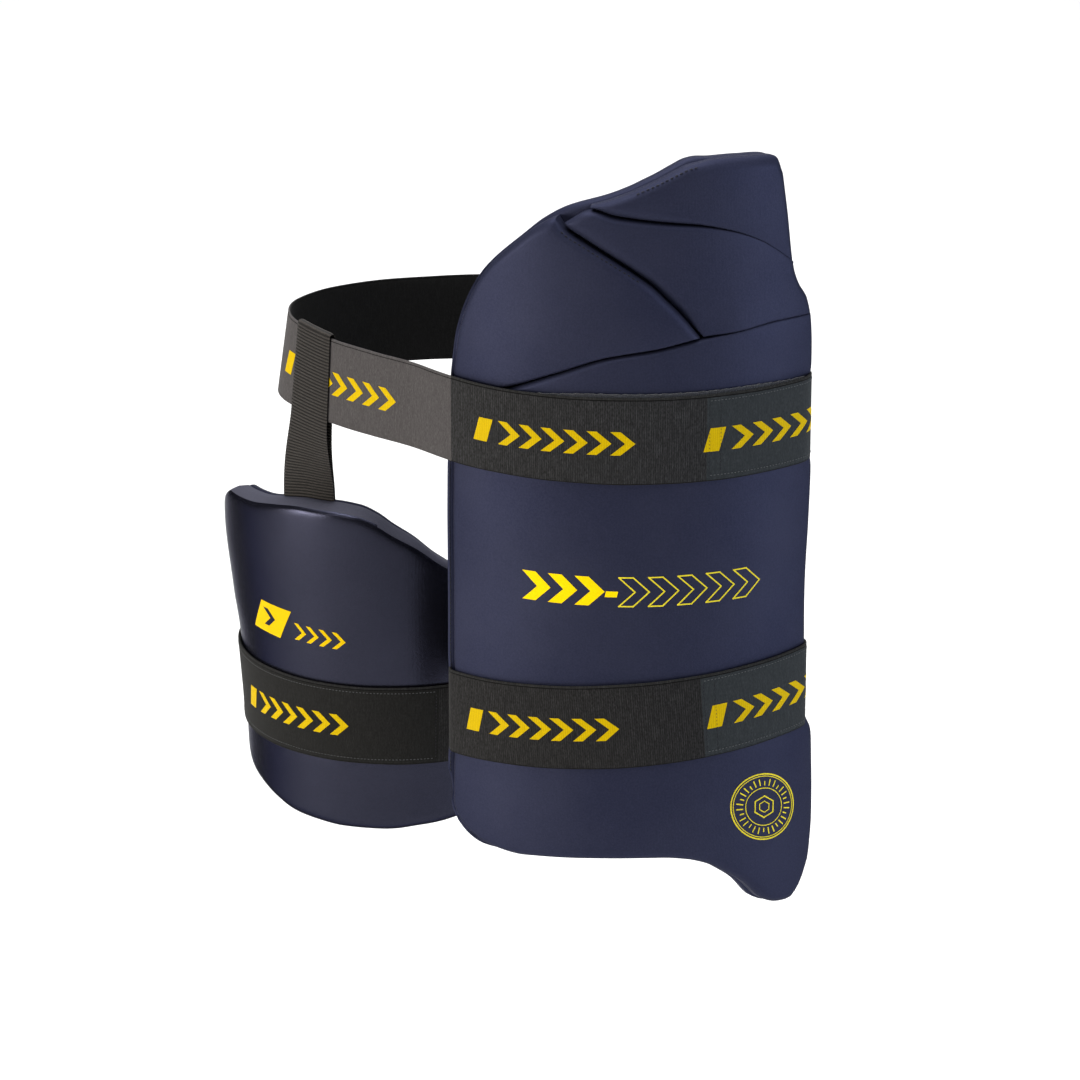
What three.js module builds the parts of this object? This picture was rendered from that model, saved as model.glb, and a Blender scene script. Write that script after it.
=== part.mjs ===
import * as THREE from 'three';

// Cricket thigh guard in millimetres, +Z up, in the form it has when worn: a tall outer thigh pad on a
// waist strap, a smaller inner thigh pad that hangs from the same strap by a webbing loop, and an
// elastic strap round each thigh.
// The origin is the middle of the waist loop at half the height of its strap. The pads face -Y.

const clearance = 0.3; // between two pieces that touch

// Outer pad: a back layer and four front panels, bent round an upright axis
const outerAxisX = 50;
const outerAxisY = -5;
const outerFaceRadius = 135;
const outerHalfWidth = 119.5; // round the curve, from the middle to an edge
const outerRise = 155; // from the waist strap's middle to the pad's top
const outerDrop = 294; // from the waist strap's middle to the tip of the tail
const outerBackThickness = 9.7;
const outerPanelThickness = 11;
const wingStep = 2; // how much lower the middle and top wings lie than the front wing
const panelRoll = 4.5; // width of a panel's rolled front edge
const panelSeam = 1.2; // gap between two panels
const backLip = 1; // how far the back layer shows past the panels
const padEdgeRoll = 2.5; // width of the rolled edge on the wearer's side

// Inner pad: a liner and a front pad, bent round a flared, forward leaning axis
const innerAxisX = -87;
const innerFaceY = -30; // foremost line of the pad, at its top edge
const innerRadius = 105; // of the pad's face at its top edge
const innerTop = -79; // top edge's height
const innerHeight = 208;
const innerForward = 0.08; // how far the face comes forward for each unit of height
const innerLeftAngle = -100; // degrees from straight ahead to the left edge
const innerRightAngle = 47;
const innerLinerThickness = 4.7;
const innerPanelThickness = 14;
const innerRoll = 6;

// Elastic straps
const strapWidth = 50;
const strapThickness = 1.6;
const strapStep = 12; // length of strap between two sections
const waistLeft = 150;
const waistRight = 154;
const waistBack = 107;
const waistFront = 97;
const tabStart = 42; // where the sewn tabs start, round the outer pad's face from its middle
const tabTail = 60; // length of a tab's end past the outer pad's right edge
const patchThickness = 0.9;
const patchShow = 2.5; // how far the loop patch shows above the waist strap
const patchLeft = -63; // left and right ends round the outer pad's face
const patchRight = 108;
const outerThighDrop = 168.5; // outer thigh strap's middle below the waist strap's middle
const outerThighSlope = 0.078; // how far that strap rises for each unit to the right
const outerThighReach = 104.5;
const outerThighBack = 25;
const innerThighDrop = 215.8; // inner thigh strap's middle below the waist strap's middle
const innerTabStart = -98; // ends of the inner thigh strap's sewn tab, in degrees
const innerTabEnd = 16.7;

// Webbing hanger, looped over the waist strap and sewn into the top of the inner pad
const webbingWidth = 30;
const webbingThickness = 1.4;
const webbingAngle = -33; // degrees round the inner pad from straight ahead
const webbingReach = -131; // where it crosses the waist strap, left of the origin

// Edges of the outer pad, bottom to top: height as a share of the rise or drop, half widths as shares
const OUTER_SIDES = [
  { up: -1.0, left: 0.99, right: 1.069 },
  { up: -0.784, left: 0.995, right: 1.069 },
  { up: -0.678, left: 0.995, right: 1.059 },
  { up: -0.568, left: 0.991, right: 1.025 },
  { up: -0.459, left: 0.989, right: 0.984 },
  { up: -0.377, left: 0.987, right: 0.978 },
  { up: -0.212, left: 0.989, right: 0.997 },
  { up: -0.092, left: 0.985, right: 1.01 },
  { up: 0.265, left: 0.985, right: 0.994 },
  { up: 0.381, left: 0.985, right: 0.966 },
  { up: 0.445, left: 0.985, right: 0.934 },
  { up: 0.51, left: 0.985, right: 0.875 },
  { up: 0.567, left: 0.985, right: 0.847 },
  { up: 0.794, left: 0.985, right: 0.8 },
  { up: 1.0, left: 0.985, right: 0.755 },
];

// Top and bottom of the outer pad, left to right: place as a share of the half width, top as a share
// of the rise and bottom as a share of the drop
const OUTER_ENDS = [
  { across: -1.0, top: 0.031, bottom: -0.736 },
  { across: -0.985, top: 0.113, bottom: -0.781 },
  { across: -0.962, top: 0.201, bottom: -0.812 },
  { across: -0.923, top: 0.35, bottom: -0.83 },
  { across: -0.845, top: 0.488, bottom: -0.848 },
  { across: -0.75, top: 0.59, bottom: -0.861 },
  { across: -0.566, top: 0.715, bottom: -0.871 },
  { across: -0.467, top: 0.772, bottom: -0.868 },
  { across: -0.336, top: 0.822, bottom: -0.864 },
  { across: -0.113, top: 0.871, bottom: -0.859 },
  { across: 0.05, top: 0.915, bottom: -0.858 },
  { across: 0.16, top: 0.943, bottom: -0.859 },
  { across: 0.266, top: 0.972, bottom: -0.863 },
  { across: 0.363, top: 0.994, bottom: -0.873 },
  { across: 0.449, top: 1.0, bottom: -0.896 },
  { across: 0.561, top: 1.0, bottom: -0.937 },
  { across: 0.682, top: 0.999, bottom: -0.981 },
  { across: 0.769, top: 0.996, bottom: -0.996 },
  { across: 0.836, top: 0.994, bottom: -0.999 },
  { across: 0.911, top: 0.99, bottom: -0.976 },
  { across: 0.948, top: 0.986, bottom: -0.949 },
  { across: 0.977, top: 0.979, bottom: -0.921 },
  { across: 1.0, top: 0.937, bottom: -0.853 },
];

// Seam between the body panel and the wings above it, as shares of the half width and the rise
const BODY_SEAM = [
  { across: -1.0, up: 0.062 },
  { across: -0.566, up: 0.181 },
  { across: -0.355, up: 0.237 },
  { across: -0.105, up: 0.3 },
  { across: 0.14, up: 0.331 },
  { across: 0.34, up: 0.361 },
  { across: 0.532, up: 0.374 },
  { across: 0.754, up: 0.389 },
  { across: 1.0, up: 0.383 },
];

// Right edge of the front wing, from its top corner to its point
const WING_EDGE = [
  { across: -0.37, up: 0.806 },
  { across: -0.331, up: 0.767 },
  { across: -0.233, up: 0.721 },
  { across: -0.108, up: 0.665 },
  { across: 0.012, up: 0.609 },
  { across: 0.112, up: 0.562 },
  { across: 0.192, up: 0.505 },
  { across: 0.272, up: 0.436 },
  { across: 0.341, up: 0.369 },
];

// Groove between the middle wing and the top wing
const TOP_GROOVE = [
  { across: -0.331, up: 0.784 },
  { across: -0.2, up: 0.833 },
  { across: -0.081, up: 0.81 },
  { across: 0.163, up: 0.789 },
  { across: 0.39, up: 0.773 },
  { across: 0.594, up: 0.742 },
  { across: 0.758, up: 0.697 },
  { across: 0.875, up: 0.647 },
  { across: 0.942, up: 0.612 },
  { across: 1.0, up: 0.581 },
];

// Face of the inner pad, top to bottom: its radius as a share of the radius at the top
const INNER_FLARE = [
  { down: 0.0, radius: 1.0 },
  { down: 0.17, radius: 0.99 },
  { down: 0.385, radius: 0.938 },
  { down: 0.483, radius: 0.91 },
  { down: 0.615, radius: 0.89 },
  { down: 0.75, radius: 0.874 },
  { down: 1.0, radius: 0.868 },
];

// Top and bottom of the inner pad, left to right: place as a share of half its angle, heights as
// shares of its own height
const INNER_ENDS = [
  { across: -1.0, top: 0.24, bottom: 0.712 },
  { across: -0.96, top: 0.165, bottom: 0.785 },
  { across: -0.89, top: 0.13, bottom: 0.844 },
  { across: -0.8, top: 0.1, bottom: 0.893 },
  { across: -0.67, top: 0.066, bottom: 0.93 },
  { across: -0.52, top: 0.046, bottom: 0.949 },
  { across: -0.38, top: 0.029, bottom: 0.968 },
  { across: -0.22, top: 0.01, bottom: 0.988 },
  { across: -0.06, top: 0.0, bottom: 0.995 },
  { across: 0.08, top: 0.0, bottom: 1.0 },
  { across: 0.2, top: 0.0, bottom: 1.0 },
  { across: 0.29, top: 0.018, bottom: 1.0 },
  { across: 0.37, top: 0.05, bottom: 0.998 },
  { across: 0.48, top: 0.101, bottom: 0.99 },
  { across: 0.58, top: 0.15, bottom: 0.985 },
  { across: 0.7, top: 0.2, bottom: 0.975 },
  { across: 0.8, top: 0.255, bottom: 0.956 },
  { across: 0.91, top: 0.32, bottom: 0.912 },
  { across: 0.97, top: 0.38, bottom: 0.854 },
  { across: 1.0, top: 0.44, bottom: 0.785 },
];

// Free run of the waist strap from the outer pad's left edge round the back to its right edge, as
// shares of the loop's reach each way. Lean is how far it tips outward for each unit of height.
const WAIST_RUN = [
  { side: -0.483, depth: -0.753, lean: 0 },
  { side: -0.633, depth: -0.546, lean: -0.03 },
  { side: -0.796, depth: -0.289, lean: -0.06 },
  { side: -0.932, depth: 0.027, lean: -0.1 },
  { side: -0.986, depth: 0.196, lean: -0.13 },
  { side: -1.0, depth: 0.366, lean: -0.14 },
  { side: -0.975, depth: 0.51, lean: -0.1 },
  { side: -0.857, depth: 0.71, lean: 0.02 },
  { side: -0.7, depth: 0.845, lean: 0.14 },
  { side: -0.517, depth: 0.925, lean: 0.22 },
  { side: -0.231, depth: 0.985, lean: 0.28 },
  { side: 0.258, depth: 1.0, lean: 0.24 },
  { side: 0.645, depth: 0.86, lean: 0.12 },
  { side: 0.935, depth: 0.46, lean: 0.04 },
  { side: 1.0, depth: -0.103, lean: 0 },
  { side: 1.0, depth: -0.66, lean: 0 },
];

// Free run of the outer thigh strap, from the outer pad's axis: sideways as a share of the reach,
// depth as a share of the face radius in front of the axis and of the back reach behind it
const THIGH_RUN = [
  { side: -0.985, depth: -0.5, lean: 0 },
  { side: -0.84, depth: -0.25, lean: 0 },
  { side: -0.54, depth: -0.03, lean: 0 },
  { side: -0.1, depth: 1.0, lean: 0 },
  { side: 0.5, depth: 1.0, lean: 0 },
  { side: 0.9, depth: -0.1, lean: 0 },
  { side: 1.0, depth: -0.46, lean: 0 },
];

const UP = new THREE.Vector3(0, 0, 1);
const columnStep = 0.08; // share of a pad's half width between two columns of its mesh
const panelLevels = 6; // rows of a tall panel's mesh between its rolled edges
const wingLevels = 3;
const rollShoulder = 0.3; // where a rolled edge turns, as a share of its width and of its drop
const patchSteps = 16;
const webbingSteps = 6; // rows of each ply of the webbing, and of its fold
const routeSamples = 800;
const wingPoint = WING_EDGE[WING_EDGE.length - 1].across;
const wingCorner = WING_EDGE[0].across;
const middleTip = TOP_GROOVE[0].across;
const topTip = TOP_GROOVE[1].across;
const panelCorners = [wingCorner, middleTip, topTip, wingPoint];
const outerThickness = outerBackThickness + clearance + outerPanelThickness;
const innerThickness = innerLinerThickness + clearance + innerPanelThickness;
const radians = THREE.MathUtils.degToRad;

// A smooth curve through a table's rows that never overshoots them
function smooth(table, key, value) {
  const xs = table.map((row) => row[key]);
  const ys = table.map((row) => row[value]);
  const slopes = xs.slice(1).map((x, i) => (ys[i + 1] - ys[i]) / (x - xs[i]));
  const tangents = xs.map((_, i) => {
    const before = slopes[Math.max(i - 1, 0)];
    const after = slopes[Math.min(i, slopes.length - 1)];
    return before * after > 0 ? (2 * before * after) / (before + after) : 0;
  });
  return (at) => {
    const x = THREE.MathUtils.clamp(at, xs[0], xs[xs.length - 1]);
    const i = Math.min(Math.max(xs.findIndex((edge) => edge >= x) - 1, 0), slopes.length - 1);
    const span = xs[i + 1] - xs[i];
    const t = (x - xs[i]) / span;
    const s = 1 - t;
    const ends = ys[i] * (1 + 2 * t) * s * s + ys[i + 1] * (1 + 2 * s) * t * t;
    return ends + span * (tangents[i] * t * s * s - tangents[i + 1] * s * t * t);
  };
}

// A closed body from points and faces of four corners, turned to face outward
function closedBody(points, faces) {
  const triangles = faces.flatMap(([a, b, c, d]) => [[a, b, c], [a, c, d]]);
  const volume = triangles.reduce((sum, [a, b, c]) => {
    return sum + points[a].dot(new THREE.Vector3().crossVectors(points[b], points[c]));
  }, 0);
  const outward = volume > 0 ? triangles : triangles.map(([a, b, c]) => [a, c, b]);
  const geometry = new THREE.BufferGeometry().setFromPoints(points);
  geometry.setIndex(outward.flat());
  geometry.computeVertexNormals();
  return geometry;
}

// Even steps between two limits
function evenSteps(from, to, count) {
  return Array.from({ length: count + 1 }, (_, i) => from + ((to - from) * i) / count);
}

// The limits, the multiples of a step between them and the corners between them, in order
function sharedSteps(from, to, step, corners) {
  const nearest = step / 4;
  const first = Math.ceil((from + nearest) / step);
  const last = Math.floor((to - nearest) / step);
  const multiples = Array.from({ length: Math.max(last - first + 1, 0) }, (_, i) => (first + i) * step);
  const inside = corners.filter((at) => at > from && at < to);
  const kept = multiples.filter((at) => inside.every((corner) => Math.abs(corner - at) > nearest));
  return [from, ...kept, ...inside, to].sort((a, b) => a - b);
}

// Steps from one end of a panel to the other with its rolled edges: place, and how far the face drops
// there as a share of the roll
function rolledSteps(from, to, roll, between) {
  const edge = Math.min(roll, (to - from) / 3);
  const shoulder = edge * rollShoulder;
  const start = [{ at: from, drop: 1 }, { at: from + shoulder, drop: rollShoulder }];
  const end = [{ at: to - shoulder, drop: rollShoulder }, { at: to, drop: 1 }];
  const middle = between(from + edge, to - edge).map((at) => ({ at, drop: 0 }));
  return [...start, ...middle, ...end];
}

// A padded panel between two heights, on a bent surface. place gives the point at a share across, a
// height and a depth from the wearer's side. The front edges roll over, and so do the back ones.
function paddedPanel(panel) {
  const { place, from, to, low, high, back, front, roll, backRoll, rollShare, corners, levels } = panel;
  const columns = rolledSteps(from, to, rollShare, (a, b) => sharedSteps(a, b, columnStep, corners));
  const grid = columns.map((column) => {
    const bottom = low(column.at);
    const top = Math.max(high(column.at), bottom + clearance);
    return rolledSteps(bottom, top, roll, (a, b) => evenSteps(a, b, levels)).map((row) => {
      const drop = Math.max(column.drop, row.drop);
      return {
        face: place(column.at, row.at, front - roll * drop),
        rear: place(column.at, row.at, back + backRoll * drop),
      };
    });
  });
  const rows = grid[0].length;
  const points = [...grid.flat().map((cell) => cell.face), ...grid.flat().map((cell) => cell.rear)];
  const face = (i, k) => i * rows + k;
  const rear = (i, k) => points.length / 2 + face(i, k);
  const last = columns.length - 1;
  const faces = [];
  for (let i = 0; i < last; i += 1) {
    for (let k = 0; k < rows - 1; k += 1) {
      faces.push([face(i, k), face(i + 1, k), face(i + 1, k + 1), face(i, k + 1)]);
      faces.push([rear(i, k), rear(i, k + 1), rear(i + 1, k + 1), rear(i + 1, k)]);
    }
    faces.push([face(i, 0), rear(i, 0), rear(i + 1, 0), face(i + 1, 0)]);
    faces.push([face(i, rows - 1), face(i + 1, rows - 1), rear(i + 1, rows - 1), rear(i, rows - 1)]);
  }
  for (let k = 0; k < rows - 1; k += 1) {
    faces.push([face(0, k), face(0, k + 1), rear(0, k + 1), rear(0, k)]);
    faces.push([face(last, k), rear(last, k), rear(last, k + 1), face(last, k + 1)]);
  }
  return closedBody(points, faces);
}

// An open strip lofted through sections. A section's points run along its inner side and back along
// its outer side.
function strip(sections) {
  const size = sections[0].length;
  const end = (sections.length - 1) * size;
  const faces = [];
  for (let k = 0; k < size / 2 - 1; k += 1) {
    const rung = [k, k + 1, size - 2 - k, size - 1 - k];
    faces.push(rung, rung.map((point) => end + point).reverse());
  }
  for (let i = 0; i < end; i += size) {
    for (let k = 0; k < size; k += 1) {
      const next = (k + 1) % size;
      faces.push([i + k, i + size + k, i + size + next, i + next]);
    }
  }
  return closedBody(sections.flat(), faces);
}

// Four corners of a flat section, from its middle, its width direction and its thickness direction
function section(centre, wide, width, thick, thickness) {
  const corners = [[-1, -1], [1, -1], [1, 1], [-1, 1]];
  return corners.map(([w, t]) => {
    return centre.clone().addScaledVector(wide, (w * width) / 2).addScaledVector(thick, (t * thickness) / 2);
  });
}

// Outer pad surfaces
const outerZ = (up) => up * (up > 0 ? outerRise : outerDrop);
const heights = (table, value) => {
  const share = smooth(table, 'across', value);
  return (across) => outerZ(share(across));
};
const outerTop = heights(OUTER_ENDS, 'top');
const outerBottom = heights(OUTER_ENDS, 'bottom');
const bodySeam = heights(BODY_SEAM, 'up');
const wingEdge = heights(WING_EDGE, 'up');
const topGroove = heights(TOP_GROOVE, 'up');
const leftShare = smooth(OUTER_SIDES, 'up', 'left');
const rightShare = smooth(OUTER_SIDES, 'up', 'right');

function onOuterPad(across, z, depth) {
  const up = z / (z > 0 ? outerRise : outerDrop);
  const share = across < 0 ? leftShare(up) : rightShare(up);
  const angle = (across * share * outerHalfWidth) / outerFaceRadius;
  const radius = outerFaceRadius - outerThickness + depth;
  return new THREE.Vector3(outerAxisX + radius * Math.sin(angle), outerAxisY - radius * Math.cos(angle), z);
}

function outerPanel(from, to, low, high, step, levels) {
  return paddedPanel({
    place: onOuterPad,
    from,
    to,
    rollShare: panelRoll / outerHalfWidth,
    low: (across) => low(across) + panelSeam / 2,
    high: (across) => high(across) - panelSeam / 2,
    back: outerBackThickness + clearance,
    front: outerThickness - step,
    roll: panelRoll,
    backRoll: 0,
    corners: panelCorners,
    levels,
  });
}

function outerBackLayer() {
  const lip = backLip / outerHalfWidth;
  return paddedPanel({
    place: onOuterPad,
    from: -1 - lip,
    to: 1 + lip,
    rollShare: padEdgeRoll / outerHalfWidth,
    low: (across) => outerBottom(across) - backLip,
    high: (across) => outerTop(across) + backLip,
    back: 0,
    front: outerBackThickness,
    roll: padEdgeRoll,
    backRoll: padEdgeRoll,
    corners: [],
    levels: panelLevels,
  });
}

// Inner pad surfaces
const innerMiddle = (innerLeftAngle + innerRightAngle) / 2;
const innerHalfAngle = (innerRightAngle - innerLeftAngle) / 2;
const innerFlare = smooth(INNER_FLARE, 'down', 'radius');
const innerTopShare = smooth(INNER_ENDS, 'across', 'top');
const innerBottomShare = smooth(INNER_ENDS, 'across', 'bottom');

function aroundInnerPad(angle, z, depth) {
  const down = (innerTop - z) / innerHeight;
  const face = innerRadius * innerFlare(down);
  const centreY = innerFaceY + (innerTop - z) * innerForward + face;
  const radius = face - innerThickness + depth;
  return new THREE.Vector3(innerAxisX + radius * Math.sin(angle), centreY - radius * Math.cos(angle), z);
}

function innerPanel(back, front, roll, backRoll) {
  return paddedPanel({
    place: (across, z, depth) => aroundInnerPad(radians(innerMiddle + across * innerHalfAngle), z, depth),
    from: -1,
    to: 1,
    rollShare: roll / innerRadius / radians(innerHalfAngle),
    low: (across) => innerTop - innerHeight * innerBottomShare(across),
    high: (across) => innerTop - innerHeight * innerTopShare(across),
    back,
    front,
    roll,
    backRoll,
    corners: [],
    levels: panelLevels,
  });
}

// A strap's closed route in plan: round the outer pad's face from the tab's start to the left edge,
// round the back, and in front again from the right edge. height gives the strap's middle over x.
function strapRoute(radius, run, height) {
  const lowerEdge = height(outerAxisX + outerHalfWidth) - strapWidth / 2;
  const padEdge = rightShare(lowerEdge / outerDrop) * outerHalfWidth;
  const rightEdge = (padEdge - panelRoll / 2) / outerFaceRadius;
  const seam = tabStart / outerFaceRadius;
  const arc = (from, to, count) => Array.from({ length: count + 1 }, (_, i) => {
    const angle = from + ((to - from) * i) / count;
    return { x: outerAxisX + radius * Math.sin(angle), y: outerAxisY - radius * Math.cos(angle), lean: 0 };
  });
  const overPad = arc(seam, -outerHalfWidth / outerFaceRadius, 9);
  const overTab = arc(rightEdge, seam, 5).slice(0, -1);
  const rows = [...overPad, ...run, ...overTab];
  const line = new THREE.CatmullRomCurve3(rows.map((r) => new THREE.Vector3(r.x, r.y, height(r.x))), true);
  const leanPoints = rows.map((r) => new THREE.Vector3(r.lean, 0, 0));
  const leans = new THREE.CatmullRomCurve3(leanPoints, true, 'catmullrom');
  line.arcLengthDivisions = routeSamples;
  const length = line.getLength();
  const tabLength = radius * (rightEdge - seam) + tabTail;
  return { line, leans, length, tabLength };
}

// The strap's middle and directions at a distance along its route
function strapFrame({ line, leans, length }, distance) {
  const u = THREE.MathUtils.euclideanModulo(distance / length, 1);
  const tangent = line.getTangentAt(u);
  const outward = new THREE.Vector3().crossVectors(UP, tangent).normalize();
  const lean = leans.getPoint(line.getUtoTmapping(u)).x;
  const wide = new THREE.Vector3().crossVectors(outward, tangent).normalize();
  if (wide.z < 0) wide.negate();
  wide.addScaledVector(outward, lean).normalize();
  const thick = new THREE.Vector3().crossVectors(tangent, wide).normalize();
  if (thick.dot(outward) < 0) thick.negate();
  return { centre: line.getPointAt(u), tangent, wide, thick };
}

function strapLength(route, from, to) {
  const count = Math.ceil((to - from) / strapStep);
  return strip(evenSteps(from, to, count).map((distance) => {
    const frame = strapFrame(route, distance);
    return section(frame.centre, frame.wide, strapWidth, frame.thick, strapThickness);
  }));
}

const strapOverPanel = outerFaceRadius + clearance + strapThickness / 2;
const waistRun = WAIST_RUN.map(({ side, depth, lean }) => ({
  x: side * (side < 0 ? waistLeft : waistRight),
  y: depth * (depth < 0 ? waistFront : waistBack),
  lean,
}));
const waistRoute = strapRoute(strapOverPanel + patchThickness + clearance, waistRun, () => 0);
const thighRun = THIGH_RUN.map(({ side, depth, lean }) => ({
  x: outerAxisX + side * outerThighReach,
  y: outerAxisY + depth * (depth < 0 ? outerFaceRadius : outerThighBack),
  lean,
}));
const thighHeight = (x) => outerThighSlope * (x - outerAxisX) - outerThighDrop;
const thighRoute = strapRoute(strapOverPanel, thighRun, thighHeight);

function strapLoop(route) {
  return strapLength(route, clearance, route.length - route.tabLength);
}

function strapTab(route) {
  return strapLength(route, route.length - route.tabLength + clearance, route.length);
}

// Part of a band that follows a pad's surface between two angles
function surfaceBand(place, from, to, low, high, inner, outer, count) {
  const corners = [[low, inner], [high, inner], [high, outer], [low, outer]];
  return strip(evenSteps(from, to, count).map((angle) => {
    return corners.map(([z, depth]) => place(angle, z, depth));
  }));
}

function waistPatch() {
  const place = (angle, z, depth) => {
    const radius = outerFaceRadius + depth;
    return new THREE.Vector3(outerAxisX + radius * Math.sin(angle), outerAxisY - radius * Math.cos(angle), z);
  };
  const top = strapWidth / 2 + patchShow;
  const [from, to] = [patchLeft / outerFaceRadius, patchRight / outerFaceRadius];
  const outer = clearance + patchThickness;
  return surfaceBand(place, from, to, -strapWidth / 2, top, clearance, outer, patchSteps);
}

function innerThighStrap(fromDegrees, toDegrees) {
  const inner = innerThickness + clearance;
  const low = -innerThighDrop - strapWidth / 2;
  const high = -innerThighDrop + strapWidth / 2;
  const count = Math.ceil((radians(toDegrees - fromDegrees) * innerRadius) / strapStep);
  const [from, to] = [radians(fromDegrees), radians(toDegrees)];
  return surfaceBand(aroundInnerPad, from, to, low, high, inner, inner + strapThickness, count);
}

// The distance along the waist strap's route at which it passes a place to the left
function waistDistanceAt(x) {
  const steps = evenSteps(0, waistRoute.length, routeSamples);
  const pointAt = (distance) => strapFrame(waistRoute, distance).centre;
  const near = steps.filter((distance) => pointAt(distance).y < waistBack / 4);
  const miss = (distance) => Math.abs(pointAt(distance).x - x);
  return near.reduce((best, d) => (miss(d) < miss(best) ? d : best));
}

// The webbing goes up outside the waist strap, over its top edge and down inside it. Each thread
// across its width starts round the inner pad's top edge and ends along the strap.
function webbingThread(offset) {
  const seamDepth = innerLinerThickness + clearance / 2;
  const seamRadius = innerRadius - innerThickness + seamDepth;
  const angle = radians(webbingAngle) - offset / seamRadius;
  const foot = aroundInnerPad(angle, innerTop, seamDepth);
  const footOut = new THREE.Vector3(Math.sin(angle), -Math.cos(angle), 0);
  const strap = strapFrame(waistRoute, waistDistanceAt(webbingReach) + offset);
  const strapOut = strap.thick.clone().setZ(0).normalize();
  return { foot, footOut, strap, strapOut };
}

function hangerWebbing() {
  const footZ = innerTop + clearance;
  const edgeZ = strapWidth / 2 + clearance;
  const plyGap = (clearance + webbingThickness) / 2;
  const strapGap = strapThickness / 2 + clearance + webbingThickness / 2;
  const threads = evenSteps(-webbingWidth / 2, webbingWidth / 2, 4).map(webbingThread);
  const frameAt = ({ foot, footOut, strap, strapOut }, z) => {
    const t = THREE.MathUtils.smoothstep(z, footZ, -edgeZ);
    const onStrap = strap.centre.clone().addScaledVector(strap.wide, z / strap.wide.z);
    const centre = foot.clone().setZ(z).lerp(onStrap, t);
    const out = footOut.clone().lerp(strapOut, t).normalize();
    return { centre, out, gap: THREE.MathUtils.lerp(plyGap, strapGap, t) };
  };
  const webbingSection = (z, degrees) => {
    const side = (thickness) => threads.map((thread) => {
      const { centre, out, gap } = frameAt(thread, z);
      const turned = out.multiplyScalar(Math.cos(radians(degrees)));
      turned.addScaledVector(UP, Math.sin(radians(degrees)));
      return centre.addScaledVector(turned, gap + thickness / 2);
    });
    return [...side(-webbingThickness), ...side(webbingThickness).reverse()];
  };
  const rising = [...evenSteps(footZ, -edgeZ, webbingSteps), 0];
  const ply = (degrees) => rising.map((z) => webbingSection(z, degrees));
  const fold = evenSteps(0, 180, webbingSteps).map((degrees) => webbingSection(edgeZ, degrees));
  return strip([...ply(0), ...fold, ...ply(180).reverse()]);
}

const navy = 0x2d2f45;
const liner = 0x23243a;
const elastic = 0x3a3a3c;
const tabCloth = 0x353537;
const webbing = 0x3a3733;
const frontWingTop = (across) => (across < wingCorner ? outerTop(across) : wingEdge(across));
const middleWingLow = (across) => {
  return across > wingPoint ? bodySeam(across) : Math.max(wingEdge(across), bodySeam(across));
};

const tabGap = THREE.MathUtils.radToDeg(clearance / innerRadius);
const innerTabRound = innerTabStart + 360;
const innerFront = innerLinerThickness + clearance;
const innerLinerRoll = innerLinerThickness / 3;
const shapes = [
  ['outer_back_layer', outerBackLayer(), liner, 0.85],
  ['outer_body_panel', outerPanel(-1, 1, outerBottom, bodySeam, 0, panelLevels), navy, 0.7],
  ['outer_front_wing', outerPanel(-1, wingPoint, bodySeam, frontWingTop, 0, wingLevels), navy, 0.7],
  ['outer_middle_wing', outerPanel(middleTip, 1, middleWingLow, topGroove, wingStep, wingLevels), navy, 0.7],
  ['outer_top_wing', outerPanel(topTip, 1, topGroove, outerTop, wingStep, wingLevels), navy, 0.7],
  ['waist_strap', strapLoop(waistRoute), elastic, 0.9],
  ['waist_strap_tab', strapTab(waistRoute), tabCloth, 0.9],
  ['waist_loop_patch', waistPatch(), tabCloth, 0.95],
  ['outer_thigh_strap', strapLoop(thighRoute), elastic, 0.9],
  ['outer_thigh_strap_tab', strapTab(thighRoute), tabCloth, 0.9],
  ['inner_pad', innerPanel(innerFront, innerThickness, innerRoll, 0), navy, 0.7],
  ['inner_back_layer', innerPanel(0, innerLinerThickness, innerLinerRoll, innerLinerRoll), liner, 0.85],
  ['inner_thigh_strap', innerThighStrap(innerTabEnd + tabGap, innerTabRound - tabGap), elastic, 0.9],
  ['inner_thigh_strap_tab', innerThighStrap(innerTabStart, innerTabEnd), tabCloth, 0.9],
  ['hanger_webbing', hangerWebbing(), webbing, 0.85],
];

const guard = new THREE.Group();
shapes.forEach(([name, geometry, colour, roughness]) => {
  const material = new THREE.MeshStandardMaterial({ color: colour, roughness, metalness: 0 });
  const mesh = new THREE.Mesh(geometry, material);
  mesh.name = name;
  guard.add(mesh);
});

export default guard;
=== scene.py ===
import math

import bpy
import numpy as np
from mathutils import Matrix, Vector


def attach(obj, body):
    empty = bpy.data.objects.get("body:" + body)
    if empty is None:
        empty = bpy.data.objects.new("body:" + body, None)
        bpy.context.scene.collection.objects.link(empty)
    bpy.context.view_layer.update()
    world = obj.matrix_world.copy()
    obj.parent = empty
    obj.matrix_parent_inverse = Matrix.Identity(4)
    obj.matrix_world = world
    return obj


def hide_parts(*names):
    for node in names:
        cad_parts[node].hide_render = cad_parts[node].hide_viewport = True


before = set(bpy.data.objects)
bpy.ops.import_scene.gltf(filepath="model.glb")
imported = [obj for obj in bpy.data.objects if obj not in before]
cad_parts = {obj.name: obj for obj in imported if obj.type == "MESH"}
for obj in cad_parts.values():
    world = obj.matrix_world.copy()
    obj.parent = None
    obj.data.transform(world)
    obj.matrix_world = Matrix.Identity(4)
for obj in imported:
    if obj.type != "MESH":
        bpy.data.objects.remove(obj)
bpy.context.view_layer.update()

# Shapes are worked out in millimetres and stored in metres
MM = 0.001

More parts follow.
